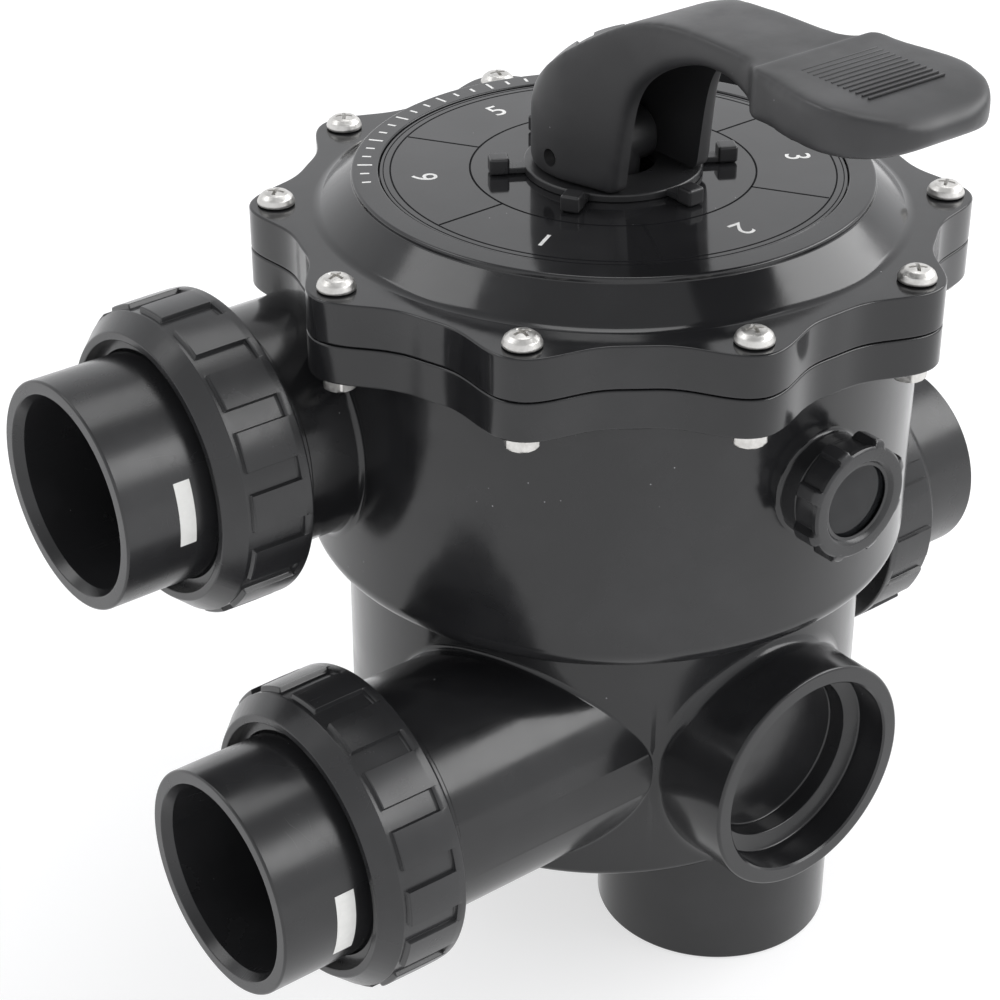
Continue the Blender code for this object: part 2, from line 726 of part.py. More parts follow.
def from_pin(outline):
    """A side view's (y, z) points measured from the pin, which is the lever's origin."""
    return [(y, z - PIN_HEIGHT) for y, z in outline]


def handle():
    """A lever on a pin through the stem. Its side view and its plan are two prisms, and the lever is what
    they share. The barrel's front heel rests on the index ring, so pressing the paddle lifts the stem."""
    back = -BARREL_R
    side = [(BARREL_R, BARREL_BOTTOM), (BARREL_R, 240)]
    side += [(30, 250), (37, 256.5), (46, 262), (58, 265.7), (68, 264), (78, 261.3), (90, 260.3), (118, 260.5)]
    side += [(130, 261.8), (HANDLE_REACH - 1, 265), (HANDLE_REACH, 269), (HANDLE_REACH - 4, 272.8)]
    side += [(120, 274.5), (84, 275), (82, 273.8), (47, 274), (30, 271.8), (16, 264.8), (1, 254.4)]
    side += [(-11, 243.5), (-18, 233), (back + 2.2, 223), (back, BARREL_BOTTOM)]
    half_width = PADDLE_HALF_WIDTH + 5
    lever = extruded("handle", from_pin(side), -half_width, half_width, plastic("handle"))
    # Side views are drawn as (y, z), and this matrix lays them in that plane with their thickness along X.
    lever.matrix_world = Matrix(((0, 0, 1, 0), (1, 0, 0, 0), (0, 1, 0, PIN_HEIGHT * MM), (0, 0, 0, 1)))
    half = arc((0, 0), BARREL_R, -90, 12, 8)
    half += [(NECK_HALF_WIDTH + 2, 26), (NECK_HALF_WIDTH, 42), (NECK_HALF_WIDTH, 58)]
    half += [(NECK_HALF_WIDTH + 1, 70), (NECK_HALF_WIDTH + 6, 84), (PADDLE_HALF_WIDTH - 2, 100)]
    half += [(PADDLE_HALF_WIDTH, 113), (PADDLE_HALF_WIDTH - 3.5, 125), (PADDLE_HALF_WIDTH - 11.5, 134)]
    half.append((PADDLE_HALF_WIDTH - 23, HANDLE_REACH))
    outline = half + [(-x, y) for x, y in reversed(half[1:])]
    plan = extruded("handle_plan", outline, 200, 290, cutter=True)
    boolean(lever, plan, "INTERSECT")
    hollow = [(-15, 205), (40, 205), (52, 246), (62, 262), (62, 269), (47, 269.3), (30, 267), (16, 260)]
    hollow += [(3, 251), (-7, 242), (-12.5, 233), (-15, 222)]
    slot = extruded("handle_slot", from_pin(hollow), -SLOT_HALF_WIDTH, SLOT_HALF_WIDTH, cutter=True)
    slot.matrix_world = lever.matrix_world
    hole = cylinder("handle_pin_hole", PIN_R + GAP, -40, 40, TINY, cutter=True)
    hole.matrix_world = across(0, 0, PIN_HEIGHT)
    cut(lever, slot, hole)
    pin = cylinder("handle_pin", PIN_R, -PIN_LENGTH / 2, PIN_LENGTH / 2, TINY, steel("handle_pin"))
    pin.matrix_world = across(0, 0, PIN_HEIGHT)


upper_housing()
lower_chamber()
lid()
dial()
fasteners()
unions()
sight_glass()
rotor()
stem()
seals()
spring()
handle()
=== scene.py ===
"""The looks of the six-way multiport valve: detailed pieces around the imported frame, their materials, a pale
floor, soft light and the camera. Sizes are in millimetres and MM turns them into metres."""

import math

import bmesh
import bpy
import numpy as np
from mathutils import Matrix, Vector


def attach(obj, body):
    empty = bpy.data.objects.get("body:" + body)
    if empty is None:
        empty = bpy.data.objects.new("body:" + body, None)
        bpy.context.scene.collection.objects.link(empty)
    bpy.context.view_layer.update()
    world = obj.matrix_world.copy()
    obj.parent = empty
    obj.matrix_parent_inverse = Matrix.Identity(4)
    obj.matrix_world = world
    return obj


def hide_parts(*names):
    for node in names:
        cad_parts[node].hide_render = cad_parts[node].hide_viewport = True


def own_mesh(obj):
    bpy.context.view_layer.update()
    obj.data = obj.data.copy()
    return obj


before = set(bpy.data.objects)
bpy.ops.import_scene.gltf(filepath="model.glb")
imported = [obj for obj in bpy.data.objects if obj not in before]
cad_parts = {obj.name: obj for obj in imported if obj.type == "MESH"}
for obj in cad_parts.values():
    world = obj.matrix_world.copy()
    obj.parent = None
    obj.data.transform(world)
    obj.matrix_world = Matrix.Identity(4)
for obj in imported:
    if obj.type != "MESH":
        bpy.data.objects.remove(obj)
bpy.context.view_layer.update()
MM = 0.001

# Housing
LOWER_RADIUS = 86.0
LOWER_INNER = 80.5
LOWER_TOP = 87.7
LOWER_FLOOR = 5.0
DIVIDER = 5.0
DIVIDER_TOP = 85.0
DIVIDER_ANGLE = 60.0
UPPER_RADIUS = 98.5
UPPER_INNER = 92.5
UPPER_BOTTOM = 88.0
UPPER_FLOOR_TOP = 93.0
FLANGE_BOTTOM = 174.5
FLANGE_SPLIT = 187.0
LID_BOTTOM = 187.3
FLANGE_TOP = 201.0
FLANGE_IN = 97.0
FLANGE_ROUND = 0.7
WINDOW_CENTRE = 52.0
WINDOW_SIZE = (38.0, 26.0)
POSITIONS = 6
FIRST_POSITION = 30.0

# Bolts and the lobed outline
BOLTS = 10
BOLT_CIRCLE = 105.0
LOBE_RADIUS = 113.5
VALLEY_RADIUS = 101.5
LOBE_SHARPNESS = 1.7
SCREW_HEAD_R = 5.9
SCREW_SEAT = 201.3
SCREW_TIP = 168.0
BLIND_TIP = 176.5
BLIND_BOLTS = (6, 9)
NUT_CORNER_R = 5.6
NUT_TOP = 174.2
NUT_HEIGHT = 4.8

# Lid and dial
LID_SLOPE_BASE = 92.0
LID_RING_OUT = 81.5
LID_RING_IN = 73.0
LID_RING_TOP = 212.4
LID_SEAT = 209.6
STEM_BORE = 12.3
DIAL_R = 72.6
DIAL_TOP = 211.9
DIAL_BORE = 13.0
INDEX_BASE = 212.2
INDEX_TOP = 214.5
INDEX_HUB_R = 28.0
BAR_SIZE = (18, 5, 1.9)
BAR_PLACE = (29, 0, 213.35)
STOP_SIZE = (6.2, 6, 5.4)
STOP_PLACE = (35.9, 0, 214.9)

# Print on the dial and its ring
INK = 0.06  # how thick it is
INK_ROUND = 0.02
SECTOR_LINE = (24.4, 0.7)  # length and width
SECTOR_CIRCLE = 56.6
FIRST_SECTOR = 1.5
CIRCLES = ((44.2, 0.6), (69.0, 0.5), (71.3, 0.3))  # radius and width
NUMERAL_SIZE = 11.5
NUMERAL_CIRCLE = 58.5
TICKS = 18
FIRST_TICK = 247.0
TICK_PITCH = 5
TICK_CIRCLE = 77.2
TICK_WIDTH = 0.9

# Unions: (direction, sideways offset, height, reach of the tail piece's face)
UNIONS = {
    "filter_top": (0.0, -36.7, 141.0, 180.0),
    "filter_bottom": (0.0, 36.7, 41.5, 180.0),
    "return": (180.0, 13.0, 49.0, 160.0),
    "pump": (225.0, 0.0, 147.0, 211.0),
}
UPPER_UNIONS = ("filter_top", "pump")
NECK_R = 38.5
THREAD_R = 41.0
NECK_BORE = 27.0
NECK_ROOT = 38.0  # where a neck starts inside the housing
NECK_END = 41.3  # from the tail piece's face back to the neck's end
NECK_STEP = 53.0  # and back to the end of its thread
NECK_SEAM = 62.0  # and back to its moulded seam
SEAM_RISE = 0.35
UPPER_BORE_START = 70.0
LOWER_BORE_START = 60.0
TAIL_R = 36.0
SOCKET_R = 30.2
SOCKET_DEPTH = 34.0
TAIL_BORE = 26.5
COLLAR_R = 40.4
COLLAR_TOP = 32.3  # from the tail piece's face back to its collar
COLLAR_THICKNESS = 6.0
SEAL_IN = 29.0
SEAL_OUT = 37.0
SEAL_THICKNESS = 2.4
SEAL_ROUND = 1.1
NUT_FRONT = 28.0  # from the tail piece's face back to the nut's front
NUT_BACK = 56.0
NUT_R = 48.0
NUT_PADS = 16
PAD_HEIGHT = 1.5
PAD_WIDTH = 11.6
PAD_FLANK = 0.55  # degrees round the nut

# Blank labels: (union, place along the tail, length, first and last angle round it)
LABELS = (
    ("filter_top", 156.8, 5.4, -11.5, 21.5),
    ("filter_bottom", 155.0, 6.6, -24.5, 13.0),
)

# Blanked sockets and the sight glass
BLANK_R = 38.9
BLANK_OFFSET = -2.0
BLANK_AXIS = 39.0
BLANK_REACH = 105.0
FRONT_STEPS = ((33.2, 11.0), (28.0, 19.5))  # radius and depth of each step
UNDER_STEPS = ((32.8, 14.0), (28.5, 26.0))
MOUTH_ROUND = 0.6
STEP_SLOPE = 2.2  # how far the step inside a blanked socket falls towards its web
STUB_R = 38.9
STUB_CENTRE = (-5.0, 55.0)
STUB_BOTTOM = -40.0
SIGHT_HEIGHT = 143.8
SIGHT_BOSS_R = 16.2
SIGHT_BOSS_END = 104.5
SIGHT_SPIGOT_R = 14.2
SIGHT_SPIGOT_END = 109.4
SIGHT_BORE = 9.5
SIGHT_LUGS = 8
LUG_HALF_WIDTH = 2.3
LUG_FLANK = 0.7
WINDOW_R = 11.6
LENS_R = 12.9

# Fillets where a neck or socket meets a round wall
UPPER_NECK_FILLET = 2.2
LOWER_NECK_FILLET = 2.0
BLANK_FILLET = 4.5
BOSS_FILLET = 1.6
LOWEST_FILLET = 0.3  # the lowest that a fillet reaches, just above the chamber's underside

# Handle and stem
PIN_HEIGHT = 221.5
BARREL_R = 25.7
BARREL_BOTTOM = 214.8
HEEL_LEAN = 3.0  # how far back the barrel's front face is at its foot
HANDLE_REACH = 137.5
HANDLE_VOXEL = 0.7
PADDLE_HALF_WIDTH = 28.9
RIDGE = 83.5  # where the paddle's top steps up from the arch
RIBS = 12
RIB_SIZE = (29, 0.75, 0.7)
FIRST_RIB = 93.5
RIB_PITCH = 2.3
PIN_HOLE_R = 2.8
SLOT_HALF_WIDTH = 14.2
STEM_R = 9.0
STEM_BOTTOM = 104.3
STEM_NECK_R = 8.4
EYE_R = 8.5
EYE_HALF_WIDTH = 11.0
EYE_HOLE_R = 3.3
PIN_R = 2.5
PIN_HALF_LENGTH = 22.0
SPRING_R = 15.0
SPRING_WIRE = 1.7
SPRING_TURNS = 5
SPRING_BOTTOM = 126.24
SPRING_TOP = 184.5

# Stage: each light is (name, place, size, radiance), in metres
FLOOR_GLOW = 0.62
FLOOR_RADIUS = 9000
LIGHTS = (
    ("right_front", (-1.75, 1.15, 1.75), (3.2, 1.1), 4.4),
    ("left_back", (1.25, -1.35, 2.3), (1.4, 0.9), 2.6),
    ("overhead", (-0.9, -0.6, 3.2), (1.6, 1.6), 2.4),
)
CAMERA_PLACE = (0.4727, 0.5479, 0.5183)
CAMERA_RIGHT = (-0.788, 0.6157, 0.0)
CAMERA_AHEAD = (-0.5302, -0.6785, -0.5085)
LENS_MM = 90.07

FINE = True
ROUND = 192 if FINE else 96
LOBE_STEPS = 48 if FINE else 24
SHARP = math.radians(32)


# ---- Shapes ----


def rounded(points, steps=5):
    """A profile with its corners rounded. A corner's radius is its third number: without one it is sharp."""
    made = []
    last = len(points) - 1
    for i, point in enumerate(points):
        here = Vector(point[:2])
        wanted = point[2] if len(point) > 2 else 0.0
        if i in (0, last) or wanted <= 0:
            made.append(tuple(here))
            continue
        back = Vector(points[i - 1][:2]) - here
        ahead = Vector(points[i + 1][:2]) - here
        room = 0.48 * min(back.length, ahead.length)
        back.normalize()
        ahead.normalize()
        angle = back.angle(ahead)
        if angle > math.radians(178):
            made.append(tuple(here))
            continue
        reach = min(wanted / math.tan(angle / 2), room)
        fillet = reach * math.tan(angle / 2)
        centre = here + (back + ahead).normalized() * fillet / math.sin(angle / 2)
        first = (here + back * reach - centre).normalized()
        second = (here + ahead * reach - centre).normalized()
        for k in range(steps + 1):
            made.append(tuple(centre + first.slerp(second, k / steps) * fillet))
    return made


def lobed(angle):
    rise = (0.5 + 0.5 * math.cos(BOLTS * angle)) ** LOBE_SHARPNESS
    return VALLEY_RADIUS + (LOBE_RADIUS - VALLEY_RADIUS) * rise


def linked(name, data):
    made = bpy.data.objects.new(name, data)
    bpy.context.scene.collection.objects.link(made)
    return made


def mesh_object(name, points, faces):
    mesh = bpy.data.meshes.new(name)
    mesh.from_pydata(points, [], faces)
    mesh.validate()
    return linked(name, mesh)


def shape_object(name, shape):
    """An object from a bmesh, which is used up."""
    mesh = bpy.data.meshes.new(name)
    shape.to_mesh(mesh)
    shape.free()
    return linked(name, mesh)


def swept(name, rows, angles, closed):
    """A surface around local Z. Each row is (radius, z), where either may be a function of the angle. Rows
    run down the outer side. Closed joins the last row to the first. Otherwise both ends meet the axis."""
    count = len(angles)
    points = []
    starts = []
    for radius, z in rows:
        starts.append(len(points))
        if not callable(radius) and abs(radius) < 1e-6:
            points.append((0.0, 0.0, z * MM))
            continue
        for a in angles:
            r = radius(a) if callable(radius) else radius
            h = z(a) if callable(z) else z
            points.append((r * math.cos(a) * MM, r * math.sin(a) * MM, h * MM))
    sizes = [b - a for a, b in zip(starts, [*starts[1:], len(points)])]
    pairs = list(range(len(rows) - 1))
    faces = []
    joined = [(i, i + 1) for i in pairs]
    if closed:
        joined.append((len(rows) - 1, 0))
    for i, j in joined:
        for k in range(count):
            n = (k + 1) % count
            if sizes[i] == 1 and sizes[j] == 1:
                continue
            if sizes[i] == 1:
                faces.append((starts[i], starts[j] + k, starts[j] + n))
            elif sizes[j] == 1:
                faces.append((starts[i] + k, starts[j], starts[i] + n))
            else:
                faces.append((starts[i] + k, starts[j] + k, starts[j] + n, starts[i] + n))
    return mesh_object(name, points, faces)


def even(count):
    return [2 * math.pi * i / count for i in range(count)]


def lathe(name, profile, segments=None, closed=True):
    return swept(name, profile, even(segments or ROUND), closed)


def prism(name, outline, low, high):
    """A prism along local Z from a counter-clockwise outline."""
    count = len(outline)
    points = [(x * MM, y * MM, z * MM) for z in (low, high) for x, y in outline]
    faces = [tuple(reversed(range(count))), tuple(range(count, 2 * count))]
    faces += [(i, (i + 1) % count, count + (i + 1) % count, count + i) for i in range(count)]
    return mesh_object(name, points, faces)


def block(name, size, radius, steps=3):
    """A box about the origin with rounded edges."""
    shape = bmesh.new()
    bmesh.ops.create_cube(shape, size=1.0, matrix=Matrix.Diagonal([*(s * MM for s in size), 1.0]))
    edges = shape.edges[:]
    bmesh.ops.bevel(shape, geom=edges, offset=radius * MM, segments=steps, affect="EDGES", profile=0.5)
    return shape_object(name, shape)


def moved(made, matrix):
    made.data.transform(matrix)
    if matrix.determinant() < 0:
        made.data.flip_normals()
    made.data.update()
    return made


def at(x, y, z):
    return Matrix.Translation((x * MM, y * MM, z * MM))


def about_z(degrees):
    return Matrix.Rotation(math.radians(degrees), 4, "Z")


def across(direction, offset, height):
    """Lays local Z along a horizontal direction, at a height and a sideways offset."""
    return about_z(direction) @ at(0, offset, height) @ Matrix.Rotation(math.pi / 2, 4, "Y")


def apply_modifiers(made):
    graph = bpy.context.evaluated_depsgraph_get()
    mesh = bpy.data.meshes.new_from_object(made.evaluated_get(graph))
    made.modifiers.clear()
    old = made.data
    made.data = mesh
    bpy.data.meshes.remove(old)
    mesh.name = made.name
    return made


def boolean(made, others, operation):
    """Applies a Boolean with each of the others, which are used up. EXACT would leave open edges."""
    for other in others:
        step = made.modifiers.new("step", "BOOLEAN")
        step.operation = operation
        step.solver = "MANIFOLD"
        step.object = other
        apply_modifiers(made)
        bpy.data.objects.remove(other)
    return made


def merged(made, others):
    """Adds the others' meshes to this one, without a Boolean."""
    shape = bmesh.new()
    shape.from_mesh(made.data)
    for other in others:
        shape.from_mesh(other.data)
        bpy.data.objects.remove(other)
    shape.to_mesh(made.data)
    shape.free()
    return made


def finished(made, material, body, nodes=(), angle=SHARP, weighted=True):
    """Shades a piece, gives it its material and body, and hides the CAD nodes that it stands for."""
    made.data.materials.clear()
    made.data.materials.append(material)
    made.data.shade_smooth()
    made.data.set_sharp_from_angle(angle=angle)
    if weighted:
        step = made.modifiers.new("even_normals", "WEIGHTED_NORMAL")
        step.keep_sharp = True
        step.weight = 80
    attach(made, body)
    if nodes:
        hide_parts(*nodes)
    return made


# ---- Materials ----


class Nodes:
    """A material's node tree, with short calls for the nodes used below."""

    def __init__(self, name):
        self.material = bpy.data.materials.new(name)
        self.material.use_nodes = True
        self.tree = self.material.node_tree
        self.shader = self.tree.nodes["Principled BSDF"]
        self.place = self.tree.nodes.new("ShaderNodeTexCoord").outputs["Object"]

    def link(self, source, target):
        self.tree.links.new(source, target)

    def add(self, kind, values):
        """A new node. An input's value is a number, a tuple or the output that it is linked to."""
        node = self.tree.nodes.new(kind)
        for name, value in values.items():
            if isinstance(value, bpy.types.NodeSocket):
                self.link(value, node.inputs[name])
            else:
                node.inputs[name].default_value = value
        return node

    def stretched(self, scale, turn):
        values = {"Scale": scale, "Rotation": turn, "Vector": self.place}
        return self.add("ShaderNodeMapping", values).outputs["Vector"]

    def noise(self, scale, detail=2.0, rough=0.5, vector=None, distortion=0.0):
        values = {"Scale": scale, "Detail": detail, "Roughness": rough, "Distortion": distortion}
        values["Vector"] = vector or self.place
        return self.add("ShaderNodeTexNoise", values).outputs["Fac"]

    def cells(self, scale):
        """The distance to the nearest of many scattered points."""
        return self.add("ShaderNodeTexVoronoi", {"Scale": scale, "Vector": self.place}).outputs["Distance"]

    def range(self, value, low, high, to_low, to_high):
        values = {"Value": value, "From Min": low, "From Max": high, "To Min": to_low, "To Max": to_high}
        return self.add("ShaderNodeMapRange", values).outputs["Result"]

    def math(self, operation, a, b=None):
        node = self.add("ShaderNodeMath", {0: a} if b is None else {0: a, 1: b})
        node.operation = operation
        return node.outputs["Value"]

    def mix(self, factor, first, second):
        node = self.tree.nodes.new("ShaderNodeMix")
        node.data_type = "RGBA"
        self.link(factor, node.inputs["Factor"])
        for value, socket in ((first, node.inputs[6]), (second, node.inputs[7])):
            if isinstance(value, tuple):
                socket.default_value = (*value, 1.0)
            else:
                self.link(value, socket)
        return node.outputs[2]

    def bump(self, height, distance, normal=None):
        values = {"Distance": distance, "Strength": 1.0, "Height": height}
        if normal is not None:
            values["Normal"] = normal
        return self.add("ShaderNodeBump", values).outputs["Normal"]

    def scratches(self, stretch, width, turn):
        """Thin lines that follow the level curve of a stretched noise: 1 on a line and 0 off it."""
        field = self.noise(1.0, 0.0, 0.4, self.stretched(stretch, turn))
        away = self.math("ABSOLUTE", self.math("SUBTRACT", field, 0.5))
        return self.range(away, 0.0, width, 1.0, 0.0)


def plastic(name, colour, gloss, spread, peel, grain, scuffs, dust):
    """Moulded plastic: a dark base with faint lighter bloom, uneven gloss, handling scuffs, a shallow
    moulding ripple (peel) and a finer grain, both heights in metres."""
    n = Nodes(name)
    patches = n.noise(26.0, 4.0, 0.55)
    bloom = n.range(patches, 0.42, 0.72, 0.0, 1.0)
    rare = n.math("GREATER_THAN", n.noise(55.0, 1.0), 0.66)
    dot = n.math("LESS_THAN", n.cells(240.0), 0.055)
    specks = n.math("MULTIPLY", rare, dot)
    lighter = tuple(c * 1.5 + 0.002 for c in colour)
    base = n.mix(bloom, colour, lighter)
    dusty = n.mix(n.math("MULTIPLY", specks, dust), base, (0.22, 0.22, 0.23))
    n.link(dusty, n.shader.inputs["Base Color"])
    lines = n.scratches((12.0, 260.0, 40.0), 0.004, (0.3, 0.2, 0.6))
    more = n.scratches((230.0, 10.0, 60.0), 0.003, (0.1, 0.5, 1.1))
    worn = n.math("MAXIMUM", lines, more)
    patchy = n.math("MULTIPLY", worn, n.range(n.noise(34.0, 2.0), 0.5, 0.7, 0.0, scuffs))
    rough = n.range(n.noise(60.0, 5.0, 0.6), 0.3, 0.7, gloss - spread, gloss + spread)
    smudge = n.range(n.noise(17.0, 3.0, 0.5, None, 0.8), 0.55, 0.75, 0.0, 1.6 * spread)
    n.link(n.math("ADD", n.math("ADD", rough, smudge), patchy), n.shader.inputs["Roughness"])
    n.shader.inputs["IOR"].default_value = 1.5
    ripple = n.bump(n.noise(210.0, 2.0, 0.5), peel)
    fine = n.bump(n.noise(2600.0, 2.0, 0.6), grain, ripple)
    n.link(fine, n.shader.inputs["Normal"])
    return n.material


def steel(name, gloss):
    """Pressed stainless steel with tumbling marks and uneven polish."""
    n = Nodes(name)
    uneven = n.range(n.noise(300.0, 4.0, 0.6), 0.35, 0.7, 0.0, 1.0)
    n.link(n.mix(uneven, (0.56, 0.55, 0.53), (0.72, 0.71, 0.69)), n.shader.inputs["Base Color"])
    n.shader.inputs["Metallic"].default_value = 1.0
    marks = n.scratches((900.0, 260.0, 500.0), 0.02, (0.4, 0.7, 0.2))
    rough = n.range(n.noise(700.0, 4.0, 0.6), 0.3, 0.7, gloss - 0.07, gloss + 0.1)
    n.link(n.math("ADD", rough, n.math("MULTIPLY", marks, 0.12)), n.shader.inputs["Roughness"])
    n.link(n.bump(n.noise(900.0, 3.0, 0.6), 0.000012), n.shader.inputs["Normal"])
    return n.material


def rubber(name):
    """Black moulded rubber: matt, with a dusting of bloom and a fine tooth."""
    n = Nodes(name)
    bloom = n.range(n.noise(140.0, 4.0, 0.6), 0.4, 0.75, 0.0, 1.0)
    n.link(n.mix(bloom, (0.014, 0.014, 0.014), (0.035, 0.034, 0.033)), n.shader.inputs["Base Color"])
    n.link(n.range(n.noise(400.0, 3.0, 0.5), 0.3, 0.7, 0.55, 0.78), n.shader.inputs["Roughness"])
    n.link(n.bump(n.noise(2200.0, 3.0, 0.6), 0.00005), n.shader.inputs["Normal"])
    return n.material


def smoked_lens(name):
    """Smoked acrylic with a faint haze of fine wiping marks."""
    n = Nodes(name)
    haze = n.scratches((160.0, 900.0, 300.0), 0.008, (0.2, 0.9, 0.4))
    n.link(n.range(haze, 0.0, 1.0, 0.03, 0.12), n.shader.inputs["Roughness"])
    cloud = n.range(n.noise(180.0, 2.0), 0.3, 0.7, 0.0, 1.0)
    n.link(n.mix(cloud, (0.03, 0.032, 0.035), (0.05, 0.052, 0.056)), n.shader.inputs["Base Color"])
    n.shader.inputs["Transmission Weight"].default_value = 0.7
    n.shader.inputs["IOR"].default_value = 1.3
    n.link(n.bump(n.noise(120.0, 2.0), 0.000004), n.shader.inputs["Normal"])
    return n.material


def paint(name, colour, dirt, matt, sheen):
    """Printed ink or label paper: slightly uneven colour over a fibrous surface."""
    n = Nodes(name)
    uneven = n.range(n.noise(420.0, 4.0, 0.6), 0.35, 0.75, 0.0, 1.0)
    n.link(n.mix(uneven, colour, tuple(c * dirt for c in colour)), n.shader.inputs["Base Color"])
    n.link(n.range(n.noise(900.0, 3.0), 0.3, 0.7, matt, matt + 0.2), n.shader.inputs["Roughness"])
    n.shader.inputs["Specular IOR Level"].default_value = sheen
    n.link(n.bump(n.noise(3200.0, 2.0, 0.6), 0.00003), n.shader.inputs["Normal"])
    return n.material


BLACK = (0.0118, 0.0119, 0.0128)
UNION_TONE = (0.0155, 0.0156, 0.0166)
GLOSS_BLACK = plastic("housing_black", BLACK, 0.17, 0.05, 0.000016, 0.0000012, 0.05, 1.0)
LID_BLACK = plastic("lid_black", BLACK, 0.13, 0.04, 0.000012, 0.000001, 0.08, 1.0)
UNION_BLACK = plastic("union_black", UNION_TONE, 0.24, 0.05, 0.000014, 0.000002, 0.05, 1.0)
DIAL_BLACK = plastic("dial_black", (0.0135, 0.0135, 0.0145), 0.09, 0.03, 0.000006, 0.0000006, 0.08, 1.0)
HANDLE_BLACK = plastic("handle_black", (0.021, 0.021, 0.0222), 0.4, 0.06, 0.00002, 0.000012, 0.05, 1.0)
INNER_BLACK = plastic("inner_black", (0.018, 0.018, 0.019), 0.32, 0.08, 0.00002, 0.000004, 0.08, 0.5)
STAINLESS = steel("stainless", 0.36)
SPRING_STEEL = steel("spring_steel", 0.36)
RUBBER = rubber("seal_rubber")
LENS = smoked_lens("smoked_acrylic")
WHITE_INK = paint("white_ink", (0.78, 0.78, 0.77), 0.86, 0.38, 0.5)
LINE_INK = paint("line_ink", (0.004, 0.004, 0.005), 1.6, 0.78, 0.12)
LABEL_PAPER = paint("label_paper", (0.74, 0.74, 0.72), 0.93, 0.42, 0.5)


# ---- Housing ----


def neck_end(reach):
    return reach - NECK_END


def neck(union):
    """The solid neck of a union, from inside the housing to its end, with a moulded seam ring."""
    direction, offset, height, reach = UNIONS[union]
    end = neck_end(reach)
    step = reach - NECK_STEP
    seam = reach - NECK_SEAM
    raised = NECK_R + SEAM_RISE
    profile = [(0, end), (THREAD_R, end, 1.0), (THREAD_R, step, 0.4), (NECK_R, step - 2.6, 1.0)]
    profile += [(NECK_R, seam + 0.9, 0.2), (raised, seam + 0.5, 0.2), (raised, seam - 0.5, 0.2)]
    profile += [(NECK_R, seam - 0.9, 0.2), (NECK_R, NECK_ROOT), (0, NECK_ROOT)]
    return moved(lathe("neck", rounded(profile), closed=False), across(direction, offset, height))


def bore(direction, offset, height, radius, start, end):
    profile = [(0, end), (radius, end), (radius, start), (0, start)]
    return moved(lathe("bore", profile, closed=False), across(direction, offset, height))


def neck_bores(unions, start):
    return [bore(*UNIONS[union][:3], NECK_BORE, start, UNIONS[union][3]) for union in unions]


def neck_fillet(direction, offset, height, radius, wall, fillet):
    """A closed ring that fills the corner where a round neck leaves the round wall. Its outer face is the
    surface of a ball that rolls round the joint touching both, and its root is buried in the two."""
    arc = 7
    root = 1.5
    ring = arc + 2
    points = []
    matrix = about_z(direction)
    for i in range(ROUND):
        t = 2 * math.pi * i / ROUND
        side = offset + (radius + fillet) * math.cos(t)
        up = height + (radius + fillet) * math.sin(t)
        centre = Vector((math.sqrt((wall + fillet) ** 2 - side * side), side, up))
        to_neck = Vector((0, -math.cos(t), -math.sin(t)))
        to_wall = -Vector((centre.x, side, 0)).normalized()
        made = [centre + to_neck.slerp(to_wall, k / arc) * fillet for k in range(arc + 1)]
        side = offset + (radius - root) * math.cos(t)
        up = height + (radius - root) * math.sin(t)
        made.append(Vector((math.sqrt((wall - root) ** 2 - side * side), side, up)))
        for place in made:
            place.z = max(place.z, LOWEST_FILLET)
            points.append(matrix @ (place * MM))
    faces = []
    for i in range(ROUND):
        n = (i + 1) % ROUND
        for k in range(ring):
            m = (k + 1) % ring
            faces.append((i * ring + k, i * ring + m, n * ring + m, n * ring + k))
    return mesh_object("fillet", points, faces)


def neck_fillets(unions, wall, fillet):
    return [neck_fillet(*UNIONS[union][:3], NECK_R, wall, fillet) for union in unions]


def stepped_cutter(steps):
    """A cutter for a blanked socket about local Z, with its mouth at 0. Each step is narrower."""
    mouth = steps[0][0]
    profile = [(0, 6), (mouth + MOUTH_ROUND, 6), (mouth + MOUTH_ROUND, 0.0), (mouth, -MOUTH_ROUND)]
    for i, (radius, depth) in enumerate(steps):
        if i:
            profile.append((radius, -steps[i - 1][1] - STEP_SLOPE, 0.6))
        profile.append((radius, -depth, 0.8))
    profile.append((0, -steps[-1][1]))
    return lathe("socket", rounded(profile, 4), closed=False)


def window_cutters():
    made = []
    for i in range(POSITIONS):
        cutter = block("window", (*WINDOW_SIZE, 20), 2.5)
        made.append(moved(cutter, about_z(FIRST_POSITION + 60 * i) @ at(WINDOW_CENTRE, 0, UPPER_FLOOR_TOP)))
    return made


def flange_rows(top, bottom):
    """Rows of (radius, z) for a lobed flange's side, with its top and bottom edges rounded."""
    rise = FLANGE_ROUND
    rows = []
    for k in range(5):
        a = math.pi / 2 * k / 4
        rows.append((lambda t, a=a: lobed(t) - rise * (1 - math.sin(a)), top - rise * (1 - math.cos(a))))
    for k in range(5):
        a = math.pi / 2 * k / 4
        rows.append((lambda t, a=a: lobed(t) - rise * (1 - math.cos(a)), bottom + rise * (1 - math.sin(a))))
    return rows


